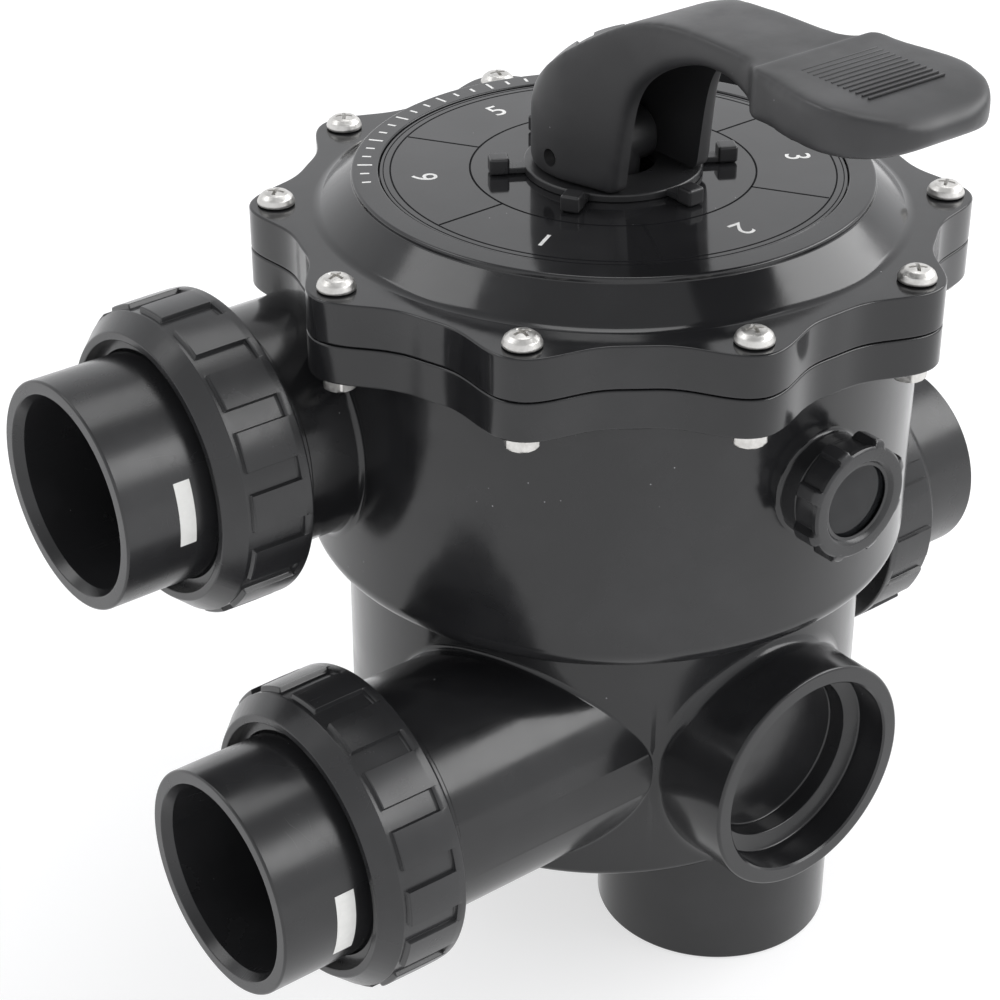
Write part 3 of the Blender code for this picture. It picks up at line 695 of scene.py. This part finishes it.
def upper_housing():
    wall = UPPER_RADIUS
    rows = [(0, FLANGE_SPLIT), (FLANGE_IN, FLANGE_SPLIT), *flange_rows(FLANGE_SPLIT, FLANGE_BOTTOM)]
    under = [(wall + 2.6, FLANGE_BOTTOM), (wall, FLANGE_BOTTOM, 2.2), (wall, UPPER_BOTTOM, 8.0)]
    under.append((0, UPPER_BOTTOM))
    rows += rounded(under, 8)
    body = swept("upper_housing_detail", rows, even(BOLTS * LOBE_STEPS), False)
    boss = [(0, SIGHT_SPIGOT_END), (SIGHT_SPIGOT_R, SIGHT_SPIGOT_END, 0.4)]
    boss += [(SIGHT_SPIGOT_R, SIGHT_BOSS_END, 0.3), (SIGHT_BOSS_R, SIGHT_BOSS_END, 0.8)]
    boss += [(SIGHT_BOSS_R, 85), (0, 85)]
    sight = moved(lathe("boss", rounded(boss), closed=False), across(90, 0, SIGHT_HEIGHT))
    boolean(body, [*(neck(u) for u in UPPER_UNIONS), sight], "UNION")
    cavity = [(0, 200), (UPPER_INNER, 200), (UPPER_INNER, UPPER_FLOOR_TOP, 1.5), (0, UPPER_FLOOR_TOP)]
    groove = [(94.6, 190), (99.0, 190), (99.0, 183.4), (94.6, 183.4)]
    cutters = [lathe("cavity", rounded(cavity), 160, False), lathe("groove", groove, 160)]
    cutters += neck_bores(UPPER_UNIONS, UPPER_BORE_START)
    cutters.append(bore(90, 0, SIGHT_HEIGHT, SIGHT_BORE, 80, 120))
    boolean(body, cutters + window_cutters(), "DIFFERENCE")
    boss_fillet = neck_fillet(90, 0, SIGHT_HEIGHT, SIGHT_BOSS_R, wall, BOSS_FILLET)
    merged(body, [boss_fillet, *neck_fillets(UPPER_UNIONS, wall, UPPER_NECK_FILLET)])
    finished(body, GLOSS_BLACK, "housing", ["upper_housing"])


def lower_chamber():
    wall = LOWER_RADIUS
    outer = [(0, LOWER_TOP), (wall, LOWER_TOP, 0.5), (wall, 0, 3.0), (0, 0)]
    body = lathe("lower_chamber_detail", rounded(outer, 6), 288 if FINE else 120, False)
    lowers = [u for u in UNIONS if u not in UPPER_UNIONS]
    blank = [(0, BLANK_REACH), (BLANK_R, BLANK_REACH, 1.0), (BLANK_R, 40), (0, 40)]
    stub = [(0, 20), (STUB_R, 20), (STUB_R, STUB_BOTTOM, 0.8), (0, STUB_BOTTOM)]
    place = across(90, BLANK_OFFSET, BLANK_AXIS)
    front = moved(lathe("blank", rounded(blank), closed=False), place)
    under = moved(lathe("stub", rounded(stub), closed=False), at(*STUB_CENTRE, 0))
    boolean(body, [*(neck(u) for u in lowers), front, under], "UNION")
    cavity = [(0, 95), (LOWER_INNER, 95), (LOWER_INNER, LOWER_FLOOR, 2.0), (0, LOWER_FLOOR)]
    boolean(body, [lathe("cavity", rounded(cavity), 144, False)], "DIFFERENCE")
    height = DIVIDER_TOP - LOWER_FLOOR + 2
    divider = block("divider", (DIVIDER, 2 * LOWER_INNER + 2, height), 0.8)
    moved(divider, about_z(DIVIDER_ANGLE) @ at(0, 0, LOWER_FLOOR - 2 + height / 2))
    boolean(body, [divider], "UNION")
    cutters = neck_bores(lowers, LOWER_BORE_START)
    cutters.append(moved(stepped_cutter(FRONT_STEPS), place @ at(0, 0, BLANK_REACH)))
    upside_down = at(*STUB_CENTRE, STUB_BOTTOM) @ Matrix.Rotation(math.pi, 4, "X")
    cutters.append(moved(stepped_cutter(UNDER_STEPS), upside_down))
    boolean(body, cutters, "DIFFERENCE")
    blank_fillet = neck_fillet(90, BLANK_OFFSET, BLANK_AXIS, BLANK_R, wall, BLANK_FILLET)
    merged(body, [blank_fillet, *neck_fillets(lowers, wall, LOWER_NECK_FILLET)])
    finished(body, GLOSS_BLACK, "housing", ["lower_chamber"])


# ---- Lid, dial and fasteners ----


def lid():
    dome = [(STEM_BORE, 195.0), (STEM_BORE, LID_SEAT, 0.6), (LID_RING_IN, LID_SEAT, 0.3)]
    dome += [(LID_RING_IN, LID_RING_TOP, 0.5), (LID_RING_OUT, LID_RING_TOP, 0.9)]
    dome += [(LID_RING_OUT, LID_RING_TOP - 1.8, 0.6), (LID_SLOPE_BASE + 0.4, FLANGE_TOP, 5.0)]
    dome += [(98.0, FLANGE_TOP)]
    rows = rounded(dome, 6)
    rows += flange_rows(FLANGE_TOP, LID_BOTTOM)
    inside = [(FLANGE_IN, LID_BOTTOM), (86.0, LID_BOTTOM, 0.5), (86.0, 195.0, 1.0), (72.0, 204.1, 3.0)]
    inside += [(20.0, 204.1, 2.0), (20.0, 188.3, 0.5), (STEM_BORE, 188.3)]
    rows += rounded(inside, 4)
    body = swept("lid_detail", rows, even(BOLTS * LOBE_STEPS), True)
    finished(body, LID_BLACK, "housing", ["lid"])


def dial_plate():
    top = DIAL_TOP
    profile = [(DIAL_BORE, top - 2), (DIAL_BORE, top, 0.3), (DIAL_R, top, 0.3), (DIAL_R, top - 2)]
    plate = lathe("dial_plate_detail", rounded(profile, 3), 288 if FINE else 144)
    finished(plate, DIAL_BLACK, "housing", ["dial_plate"])


def dial_print():
    """The dial's markings: a sector line between positions, a numeral for each, and ticks round the ring."""
    lines = []
    for i in range(POSITIONS):
        line = block("line", (*SECTOR_LINE, INK), INK_ROUND, 1)
        lines.append(moved(line, about_z(FIRST_SECTOR + 60 * i) @ at(SECTOR_CIRCLE, 0, DIAL_TOP + INK / 2)))
    low = DIAL_TOP - 0.01
    high = DIAL_TOP + INK
    for radius, width in CIRCLES:
        band = [(radius, low), (radius, high), (radius + width, high), (radius + width, low)]
        lines.append(lathe("circle", band))
    first = lines.pop()
    finished(merged(first, lines), LINE_INK, "housing", weighted=False)
    first.name = "dial_sector_lines"
    marks = [numeral(i) for i in range(POSITIONS)]
    for i in range(TICKS):
        length = 4.6 if i % 3 == 0 else 2.8
        tick = block("tick", (length, TICK_WIDTH, INK), INK_ROUND, 1)
        place = about_z(FIRST_TICK + TICK_PITCH * i) @ at(TICK_CIRCLE, 0, LID_RING_TOP + INK / 2)
        marks.append(moved(tick, place))
    first = marks.pop()
    finished(merged(first, marks), WHITE_INK, "housing", weighted=False)
    first.name = "dial_numerals"


def numeral(i):
    """A printed digit at a dial position, with its foot towards the centre."""
    text = bpy.data.curves.new("digit", "FONT")
    text.body = str(i + 1)
    text.size = NUMERAL_SIZE * MM
    text.extrude = INK / 2 * MM
    text.align_x = "CENTER"
    text.align_y = "CENTER"
    written = linked("digit", text)
    mesh = bpy.data.meshes.new_from_object(written.evaluated_get(bpy.context.evaluated_depsgraph_get()))
    bpy.data.objects.remove(written)
    shape = bmesh.new()
    shape.from_mesh(mesh)
    bmesh.ops.remove_doubles(shape, verts=shape.verts, dist=0.0001 * MM)
    place = about_z(FIRST_POSITION + 60 * i) @ at(NUMERAL_CIRCLE, 0, DIAL_TOP + INK / 2)
    return moved(shape_object("digit", shape), place @ about_z(-90))


def index_ring():
    """The ratchet ring under the handle: a hub with a low bar and a stop at each position."""
    profile = [(DIAL_BORE, INDEX_BASE), (DIAL_BORE, INDEX_TOP, 0.4)]
    profile += [(INDEX_HUB_R, INDEX_TOP, 0.7), (INDEX_HUB_R, INDEX_BASE)]
    ring = lathe("index_ring_detail", rounded(profile, 4))
    extra = []
    for i in range(POSITIONS):
        turn = about_z(FIRST_POSITION + 60 * i)
        bar = block("bar", BAR_SIZE, 0.35)
        extra.append(moved(bar, turn @ at(*BAR_PLACE)))
        stop = block("stop", STOP_SIZE, 0.9, 4)
        extra.append(moved(stop, turn @ at(*STOP_PLACE)))
    merged(ring, extra)
    finished(ring, INNER_BLACK, "housing", ["index_ring"])


def cross_recess():
    """A cutter for a screw's cross recess, with its mouth at z = 0."""
    shape = bmesh.new()
    for turn in (0, 90):
        matrix = about_z(turn)
        corners = []
        for z, length, width in ((0.4, 3.3, 0.62), (-1.9, 1.1, 0.3)):
            ends = ((-length, -width), (length, -width), (length, width), (-length, width))
            corners.append([shape.verts.new(matrix @ Vector((x * MM, y * MM, z * MM))) for x, y in ends])
        top, low = corners
        shape.faces.new(top)
        shape.faces.new(list(reversed(low)))
        for k in range(4):
            n = (k + 1) % 4
            shape.faces.new((top[n], top[k], low[k], low[n]))
    return shape_object("recess", shape)


def screw(i):
    """A pan-head screw with a cross recess."""
    head = SCREW_SEAT
    tip = BLIND_TIP if i in BLIND_BOLTS else SCREW_TIP
    profile = [(0, head + 4.15), (1.6, head + 4.1, 0.5), (3.8, head + 3.6, 1.5), (5.25, head + 2.4, 1.6)]
    profile += [(SCREW_HEAD_R, head + 0.9, 0.8), (SCREW_HEAD_R, head, 0.4), (2.9, head, 0.2)]
    profile += [(2.9, tip, 0.6), (0, tip)]
    made = lathe(f"screw_{i:02d}_detail", rounded(profile, 5), 64, False)
    cutter = cross_recess()
    step = made.modifiers.new("step", "BOOLEAN")
    step.operation = "DIFFERENCE"
    step.object = moved(cutter, at(0, 0, head + 4.0))
    step.use_self = True
    apply_modifiers(made)
    bpy.data.objects.remove(cutter)
    angle = 360 / BOLTS * i
    moved(made, about_z(angle) @ at(BOLT_CIRCLE, 0, 0) @ about_z(37.0 * i + 12))
    finished(made, STAINLESS, "housing", [f"screw_{i:02d}"])


def hex_nut(i):
    """A hexagonal nut with chamfered corners and a threaded hole."""

    def side(angle):
        folded = (angle + math.pi / 6) % (math.pi / 3) - math.pi / 6
        return NUT_CORNER_R * math.cos(math.pi / 6) / math.cos(folded)

    def corner(limit):
        return lambda angle: min(side(angle + math.pi / 6), limit)

    top = NUT_TOP
    low = top - NUT_HEIGHT
    rows = [(3.2, top), (4.7, top), (corner(4.95), top), (corner(5.3), top - 0.35), (corner(9), top - 0.75)]
    rows += [(corner(9), low + 0.75), (corner(5.3), low + 0.35), (corner(4.95), low), (4.7, low), (3.2, low)]
    for k in range(9):
        rows.append((3.2 + 0.25 * (k % 2), low + 0.5 + 0.45 * k))
    made = swept(f"nut_{i:02d}_detail", rows, even(72), True)
    moved(made, about_z(360 / BOLTS * i) @ at(BOLT_CIRCLE, 0, 0) @ about_z(23.0 * i))
    finished(made, STAINLESS, "housing", [f"nut_{i:02d}"])


# ---- Unions ----


def pad_angles():
    """Angles round a union nut, close together where a pad's flank rises."""
    half = math.degrees(PAD_WIDTH / 2 / NUT_R)
    pitch = 360 / NUT_PADS
    flank = PAD_FLANK
    marks = [-half - flank, -half - 0.7 * flank, -half - 0.3 * flank, -half]
    marks += [-half * f for f in (0.75, 0.5, 0.25)] + [0]
    marks += [-m for m in reversed(marks[:-1])]
    gap = pitch / 2 - half - flank
    marks += [half + flank + gap * f for f in (0.5, 1.0, 1.5)]
    return [math.radians(pitch * i + m) for i in range(NUT_PADS) for m in marks]


def pad_rise(angle):
    """How far up a pad's flank an angle is: 0 in a groove and 1 on a pad."""
    pitch = 2 * math.pi / NUT_PADS
    away = abs((angle + pitch / 2) % pitch - pitch / 2)
    half = PAD_WIDTH / 2 / NUT_R
    flank = math.radians(PAD_FLANK)
    share = min(max((half + flank - away) / flank, 0.0), 1.0)
    return share * share * (3 - 2 * share)


def union_nut(union):
    """The nut of a union: a cone in front, a barrel with low pads round it and a plain rim at the back."""
    direction, offset, height, reach = UNIONS[union]
    front = reach - NUT_FRONT
    back = reach - NUT_BACK

    def padded(base, share):
        return lambda angle: base + PAD_HEIGHT * share * pad_rise(angle)

    cone = [(40.2, front - 3.7), (40.2, front, 0.5), (42.7, front, 0.9), (46.7, front - 4.6, 2.2)]
    cone += [(NUT_R - 0.2, front - 5.8, 0.4), (NUT_R - 0.2, front - 6.6)]
    rows = rounded(cone, 5)
    pad_front = front - 7.4
    rim = back + 3.4
    for share, z in ((0, 0.35), (0.3, 0.1), (0.8, -0.1), (1, -0.45)):
        rows.append((padded(NUT_R - 0.2, share), pad_front + z))
    rows += [(padded(NUT_R, 1), rim + 6), (padded(NUT_R, 1), rim + 0.5)]
    for base, z in ((NUT_R + 0.4, 0.1), (NUT_R + 1.1, -0.1)):
        rows.append((lambda t, base=base: max(base, NUT_R + PAD_HEIGHT * pad_rise(t)), rim + z))
    rows += [(lambda t: max(NUT_R + 1.35, NUT_R + PAD_HEIGHT * pad_rise(t)), rim - 0.6)]
    end = [(NUT_R + 1.4, rim - 1.6), (NUT_R + 1.35, back, 0.8), (41.6, back, 0.8), (41.6, front - 4)]
    end += [(36.6, front - 4, 0.2), (36.6, front - 3.2, 0.3), (38.0, front - 3.3)]
    rows += rounded(end, 4)
    nut = swept(f"{union}_union_nut_detail", rows[:-1], pad_angles(), True)
    moved(nut, across(direction, offset, height) @ about_z(4.0))
    finished(nut, UNION_BLACK, f"{union}_nut", [f"{union}_union_nut"])


def tail_piece(union):
    """The tail that a pipe is glued into, with a chamfered socket, a stop step and a collar."""
    direction, offset, height, reach = UNIONS[union]
    top = reach - COLLAR_TOP
    low = top - COLLAR_THICKNESS
    floor = reach - SOCKET_DEPTH
    profile = [(TAIL_BORE, low + 1), (TAIL_BORE, floor, 0.8), (SOCKET_R - 0.35, floor, 0.5)]
    profile += [(SOCKET_R, reach - 3.2, 0.6), (SOCKET_R + 1.6, reach, 0.5), (TAIL_R, reach, 0.8)]
    profile += [(TAIL_R, top, 1.0), (COLLAR_R, top, 0.6), (COLLAR_R, low, 0.6), (TAIL_BORE, low)]
    tail = lathe(f"{union}_tail_piece_detail", rounded(profile, 5))
    moved(tail, across(direction, offset, height))
    finished(tail, UNION_BLACK, "housing", [f"{union}_tail_piece"])


def union_seal(union):
    """A round-shouldered sealing ring in front of the neck."""
    direction, offset, height, reach = UNIONS[union]
    low = neck_end(reach) + 0.3
    high = low + SEAL_THICKNESS
    middle = low + SEAL_THICKNESS / 2
    profile = [(SEAL_IN, middle), (SEAL_IN, high, SEAL_ROUND), (SEAL_OUT, high, SEAL_ROUND)]
    profile += [(SEAL_OUT, low, SEAL_ROUND), (SEAL_IN, low, SEAL_ROUND), (SEAL_IN, middle)]
    seal = lathe(f"{union}_o_ring_detail", rounded(profile, 5)[:-1])
    moved(seal, across(direction, offset, height))
    finished(seal, RUBBER, "housing", [f"{union}_o_ring"])


def blank_label(union, near, length, low, high):
    """A blank paper sticker on the side of a tail piece."""
    _, offset, height, _ = UNIONS[union]
    across_steps, along_steps = 24, 6
    inner, outer = TAIL_R + 0.02, TAIL_R + 0.12
    points = []
    for radius in (outer, inner):
        for i in range(across_steps + 1):
            angle = math.radians(low + (high - low) * i / across_steps)
            for k in range(along_steps + 1):
                x = near + length * k / along_steps
                place = (x, offset + radius * math.cos(angle), height + radius * math.sin(angle))
                points.append(tuple(c * MM for c in place))
    width = along_steps + 1
    layer = (across_steps + 1) * width
    faces = []
    for i in range(across_steps):
        for k in range(along_steps):
            a = i * width + k
            faces.append((a, a + width, a + width + 1, a + 1))
            faces.append((layer + a, layer + a + 1, layer + a + width + 1, layer + a + width))
    rim = [k for k in range(width)]
    rim += [i * width + along_steps for i in range(1, across_steps + 1)]
    rim += [across_steps * width + k for k in range(along_steps - 1, -1, -1)]
    rim += [i * width for i in range(across_steps - 1, 0, -1)]
    for a, b in zip(rim, rim[1:] + rim[:1]):
        faces.append((a, b, layer + b, layer + a))
    label = mesh_object(f"{union}_blank_label", points, faces)
    finished(label, LABEL_PAPER, "housing", weighted=False)


# ---- Sight glass ----


def sight_glass():
    """The lens of the sight glass and the ring nut that holds it."""
    place = across(90, 0, SIGHT_HEIGHT)
    pitch = 2 * math.pi / SIGHT_LUGS

    def lugged(base, rise):
        """The nut's radius round the axis: a base with low lugs on it."""

        def radius(angle):
            away = abs(angle % pitch - pitch / 2) * base
            share = min(max((LUG_HALF_WIDTH - away) / LUG_FLANK, 0.0), 1.0)
            return base + rise * share * share * (3 - 2 * share)

        return radius

    rows = [(WINDOW_R, 113.3), (WINDOW_R, 113.6), (12.6, 113.75), (13.5, 114.85), (13.9, 115.0)]
    rows.append((17.0, 115.0))
    rows += [(lugged(17.4, 0.3), 114.85), (lugged(17.9, 1.0), 114.3), (lugged(17.9, 1.6), 113.7)]
    rows += [(lugged(17.9, 1.8), 112.9), (lugged(17.0, 2.6), 112.3), (lugged(17.0, 2.6), 106.9)]
    rows += [(lugged(17.0, 2.4), 106.3), (lugged(16.9, 1.2), 105.3), (16.7, 104.9), (15.0, 104.85)]
    rows += [(15.0, 113.2), (12.0, 113.2)]
    nut = swept("sight_ring_nut_detail", rows, even(384 if FINE else 192), True)
    finished(moved(nut, place), UNION_BLACK, "sight_nut", ["sight_ring_nut"])
    glass = [(0, 112.2), (WINDOW_R, 112.2), (LENS_R, 112.0, 0.3), (LENS_R, 111.1, 0.3), (0, 111.0)]
    lens = lathe("sight_lens_detail", rounded(glass, 4), 96, False)
    finished(moved(lens, place), LENS, "housing", ["sight_lens"])


# ---- Handle and stem ----


def softened(points, rounds, keep=()):
    """Corner cutting: each round replaces a corner by two points. A corner whose index is kept stays."""
    marked = [(Vector(p), i in keep) for i, p in enumerate(points)]
    for _ in range(rounds):
        made = []
        for i, (here, kept) in enumerate(marked):
            ahead, ahead_kept = marked[(i + 1) % len(marked)]
            if kept:
                made.append((here, True))
            else:
                made.append((here.lerp(ahead, 0.25), False))
            if not ahead_kept:
                made.append((here.lerp(ahead, 0.75), False))
        marked = made
    return [tuple(p) for p, _ in marked]


def side_view_matrix():
    """Turns a prism drawn as (y, z) with its thickness along local Z into the lever's own plane."""
    return Matrix(((0, 0, 1, 0), (1, 0, 0, 0), (0, 1, 0, 0), (0, 0, 0, 1)))


def soft_away_from(lever, ridge):
    """A vertex group that is weakest at the ridge across the paddle, so that smoothing leaves it crisp."""
    group = lever.vertex_groups.new(name="soft")
    for vertex in lever.data.vertices:
        away = abs(vertex.co.y / MM - ridge)
        if away > 2.5:
            group.add([vertex.index], min((away - 2.5) / 9.0, 1.0), "REPLACE")
    return group.name


def shoulder_cutter(side):
    """Takes the lever's upper back edge off one side, where its round barrel turns into the arch."""
    half = PADDLE_HALF_WIDTH + 4
    front = [(BARREL_R + 0.6, 226), (BARREL_R - 0.2, 236), (23.3, 245), (20.3, 253), (18.0, 260)]
    front += [(16.9, 267), (16.4, 276), (half, 276), (half, 226)]
    cutter = prism("shoulder", [(side * x, z) for x, z in front], -31.0, 40.0)
    return moved(cutter, Matrix(((1, 0, 0, 0), (0, 0, -1, 0), (0, 1, 0, 0), (0, 0, 0, 1))))


def handle():
    """The lever. Its side view (y, z) runs from the heel along the underside to the tip and back over the
    top. Half of its plan (x, y) runs from the barrel to the tip. The hollow is the finger gap and the
    stem's slot."""
    back = -BARREL_R
    side = [(BARREL_R - HEEL_LEAN, BARREL_BOTTOM), (BARREL_R, 240)]
    side += [(29.5, 250), (36.5, 256.7), (46, 262.0), (58, 265.7), (68, 264.6), (78, 261.3), (90, 260.3)]
    side += [(118, 260.5), (130, 261.8), (HANDLE_REACH - 1, 265), (HANDLE_REACH, 269)]
    side += [(HANDLE_REACH - 4, 272.8), (120, 274.6), (RIDGE, 275), (RIDGE - 1.5, 273.6), (47, 274)]
    side += [(30, 271.8), (16, 264.8), (1, 254.4), (-11, 243.5), (-18, 233), (back + 2.2, 223)]
    side.append((back, BARREL_BOTTOM))
    kept = (0, side.index((RIDGE, 275)), side.index((RIDGE - 1.5, 273.6)), len(side) - 1)
    lever = prism("handle_detail", softened(side, 3, kept), -40, 40)
    moved(lever, side_view_matrix())
    half = [(BARREL_R * math.cos(a), BARREL_R * math.sin(a)) for a in np.radians(np.linspace(-90, 12, 40))]
    half += [(19, 26), (17, 42), (17, 58), (17.3, 68), (18.0, 78), (24.2, RIDGE + 0.5), (25.0, 91)]
    half += [(27.2, 101), (PADDLE_HALF_WIDTH, 113), (25.6, 125), (17.5, 134), (7, HANDLE_REACH)]
    outline = half + [(-x, y) for x, y in reversed(half[1:])]
    plan = prism("plan", softened(outline, 2), 200, 290)
    boolean(lever, [plan], "INTERSECT")
    boolean(lever, [shoulder_cutter(1), shoulder_cutter(-1)], "DIFFERENCE")
    remesh = lever.modifiers.new("even", "REMESH")
    remesh.mode = "VOXEL"
    remesh.voxel_size = (HANDLE_VOXEL if FINE else 1.3) * MM
    apply_modifiers(lever)
    group = soft_away_from(lever, RIDGE)
    for iterations, where in ((10, ""), (64 if FINE else 22, group)):
        smooth = lever.modifiers.new("soft", "SMOOTH")
        smooth.factor = 0.5
        smooth.iterations = iterations
        smooth.vertex_group = where
        apply_modifiers(lever)
    hollow = [(-15, 205), (40, 205), (52, 246), (62, 262), (62, 269), (47, 269.3), (30, 267), (16, 260)]
    hollow += [(3, 251), (-7, 242), (-12.5, 233), (-15, 222)]
    slot = prism("slot", softened(hollow, 2, (0, 1)), -SLOT_HALF_WIDTH, SLOT_HALF_WIDTH)
    moved(slot, side_view_matrix())
    hole = [(0, 40), (PIN_HOLE_R, 40), (PIN_HOLE_R, -40), (0, -40)]
    pin_hole = moved(lathe("hole", hole, 48, False), across(0, 0, PIN_HEIGHT))
    boolean(lever, [slot, pin_hole], "DIFFERENCE")
    ribs = []
    for i in range(RIBS):
        rib = block("rib", RIB_SIZE, 0.25, 2)
        place = at(0, FIRST_RIB + RIB_PITCH * i, 274.66)
        ribs.append(moved(rib, place @ Matrix.Rotation(-0.006, 4, "X")))
    merged(lever, ribs)
    soft = math.radians(40)
    finished(lever, HANDLE_BLACK, "handle", ["handle"], angle=soft, weighted=False)


def stem():
    """The stem with its eye, and the pin through it that the lever tilts on."""
    profile = [(0, PIN_HEIGHT + 7.5), (6.5, PIN_HEIGHT + 6.5, 3.0), (STEM_NECK_R, PIN_HEIGHT + 1, 3.0)]
    profile += [(STEM_NECK_R, 208, 0.8), (STEM_R, 207, 0.3), (STEM_R, STEM_BOTTOM, 0.6), (0, STEM_BOTTOM)]
    shaft = lathe("stem_detail", rounded(profile, 6), 96, False)
    half = EYE_HALF_WIDTH
    cheek = [(0, half), (EYE_R, half, 1.0), (EYE_R, -half, 1.0), (0, -half)]
    eye = moved(lathe("eye", rounded(cheek, 5), 96, False), across(0, 0, PIN_HEIGHT))
    boolean(shaft, [eye], "UNION")
    hole = [(0, 30), (EYE_HOLE_R, 30), (EYE_HOLE_R, -30), (0, -30)]
    boolean(shaft, [moved(lathe("hole", hole, 48, False), across(0, 0, PIN_HEIGHT))], "DIFFERENCE")
    finished(shaft, INNER_BLACK, "rotor", ["stem"])
    half = PIN_HALF_LENGTH
    rod = [(0, half), (PIN_R, half, 0.5), (PIN_R, -half, 0.5), (0, -half)]
    pin = moved(lathe("handle_pin_detail", rounded(rod, 4), 64, False), across(0, 0, PIN_HEIGHT))
    finished(pin, STAINLESS, "rotor", ["handle_pin"])


def spring():
    """The coil that presses the rotor down."""
    steps = SPRING_TURNS * 60
    around = 20
    low = SPRING_BOTTOM + SPRING_WIRE
    rise = SPRING_TOP - SPRING_BOTTOM - 2 * SPRING_WIRE
    points = []
    for i in range(steps + 1):
        a = 2 * math.pi * SPRING_TURNS * i / steps
        out = Vector((math.cos(a), math.sin(a), 0))
        middle = out * SPRING_R + Vector((0, 0, low + rise * i / steps))
        for k in range(around):
            b = 2 * math.pi * k / around
            points.append((middle + (out * math.cos(b) + Vector((0, 0, math.sin(b)))) * SPRING_WIRE) * MM)
    faces = []
    for i in range(steps):
        for k in range(around):
            m = (k + 1) % around
            faces.append((i * around + k, i * around + m, (i + 1) * around + m, (i + 1) * around + k))
    faces.append(tuple(reversed(range(around))))
    faces.append(tuple(range(steps * around, (steps + 1) * around)))
    coil = mesh_object("spring_detail", points, faces)
    coil.data.flip_normals()
    finished(coil, SPRING_STEEL, "spring_seat", ["spring"], weighted=False)
    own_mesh(coil)


def inner_pieces():
    """The CAD nodes inside the housing keep their shape and get their own materials."""
    wanted = {"rotor": INNER_BLACK, "spring_washer": STAINLESS}
    wanted.update({name: RUBBER for name in ("spider_gasket", "lid_o_ring", "sight_gasket")})
    wanted.update({name: RUBBER for name in ("stem_o_ring_0", "stem_o_ring_1")})
    for name, material in wanted.items():
        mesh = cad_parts[name].data
        mesh.materials.clear()
        mesh.materials.append(material)


# ---- Stage ----


def floor():
    """A wide flat floor of back-lit pale acrylic, which keeps the shadow on it faint."""
    n = Nodes("pale_floor")
    tone = n.mix(n.range(n.noise(3.0, 3.0), 0.3, 0.7, 0.0, 1.0), (0.45, 0.45, 0.455), (0.47, 0.47, 0.475))
    n.link(tone, n.shader.inputs["Base Color"])
    n.shader.inputs["Roughness"].default_value = 0.7
    n.shader.inputs["Specular IOR Level"].default_value = 0.1
    n.shader.inputs["Emission Color"].default_value = (1.0, 1.0, 1.0, 1.0)
    n.shader.inputs["Emission Strength"].default_value = FLOOR_GLOW
    level = STUB_BOTTOM - 0.3
    made = swept("floor", [(FLOOR_RADIUS, level), (400, level), (0, level)], even(64), False)
    made.data.flip_normals()
    made.data.materials.append(n.material)


def light(name, place, size, radiance):
    """A soft rectangular lamp that faces the valve. Its radiance is what a mirror would show of it."""
    lamp = bpy.data.lights.new(name, "AREA")
    lamp.shape = "RECTANGLE"
    lamp.size = size[0]
    lamp.size_y = size[1]
    lamp.energy = radiance * math.pi * size[0] * size[1]
    made = linked(name, lamp)
    made.location = place
    made.rotation_euler = (Vector((0, 0, 0.1)) - Vector(place)).to_track_quat("-Z", "Y").to_euler()
    made.visible_camera = False


def studio():
    """A pale sky that is darker overhead, and the lights."""
    world = bpy.data.worlds.new("studio")
    world.use_nodes = True
    tree = world.node_tree
    sky = tree.nodes["Background"]
    place = tree.nodes.new("ShaderNodeTexCoord").outputs["Generated"]
    parts = tree.nodes.new("ShaderNodeSeparateXYZ")
    tree.links.new(place, parts.inputs[0])
    fade = tree.nodes.new("ShaderNodeMapRange")
    for name, value in (("From Min", 0.35), ("From Max", 0.9), ("To Min", 1.1), ("To Max", 0.5)):
        fade.inputs[name].default_value = value
    tree.links.new(parts.outputs["Z"], fade.inputs["Value"])
    tree.links.new(fade.outputs["Result"], sky.inputs["Strength"])
    sky.inputs["Color"].default_value = (0.98, 0.985, 1.0, 1.0)
    bpy.context.scene.world = world
    for name, lamp_place, size, radiance in LIGHTS:
        light(name, lamp_place, size, radiance)


def camera():
    right = Vector(CAMERA_RIGHT).normalized()
    ahead = Vector(CAMERA_AHEAD).normalized()
    up = right.cross(ahead).normalized()
    lens = bpy.data.cameras.new("camera")
    lens.lens = LENS_MM
    lens.sensor_width = 36.0
    made = linked("camera", lens)
    turn = Matrix((right, up, -ahead)).transposed().to_4x4()
    made.matrix_world = Matrix.Translation(CAMERA_PLACE) @ turn
    bpy.context.scene.camera = made
    bpy.context.scene.view_settings.view_transform = "Standard"


upper_housing()
lower_chamber()
lid()
dial_plate()
dial_print()
index_ring()
for bolt in range(BOLTS):
    screw(bolt)
    if bolt not in BLIND_BOLTS:
        hex_nut(bolt)
for union_name in UNIONS:
    union_nut(union_name)
    tail_piece(union_name)
    union_seal(union_name)
for label in LABELS:
    blank_label(*label)
sight_glass()
handle()
stem()
spring()
inner_pieces()
floor()
studio()
camera()
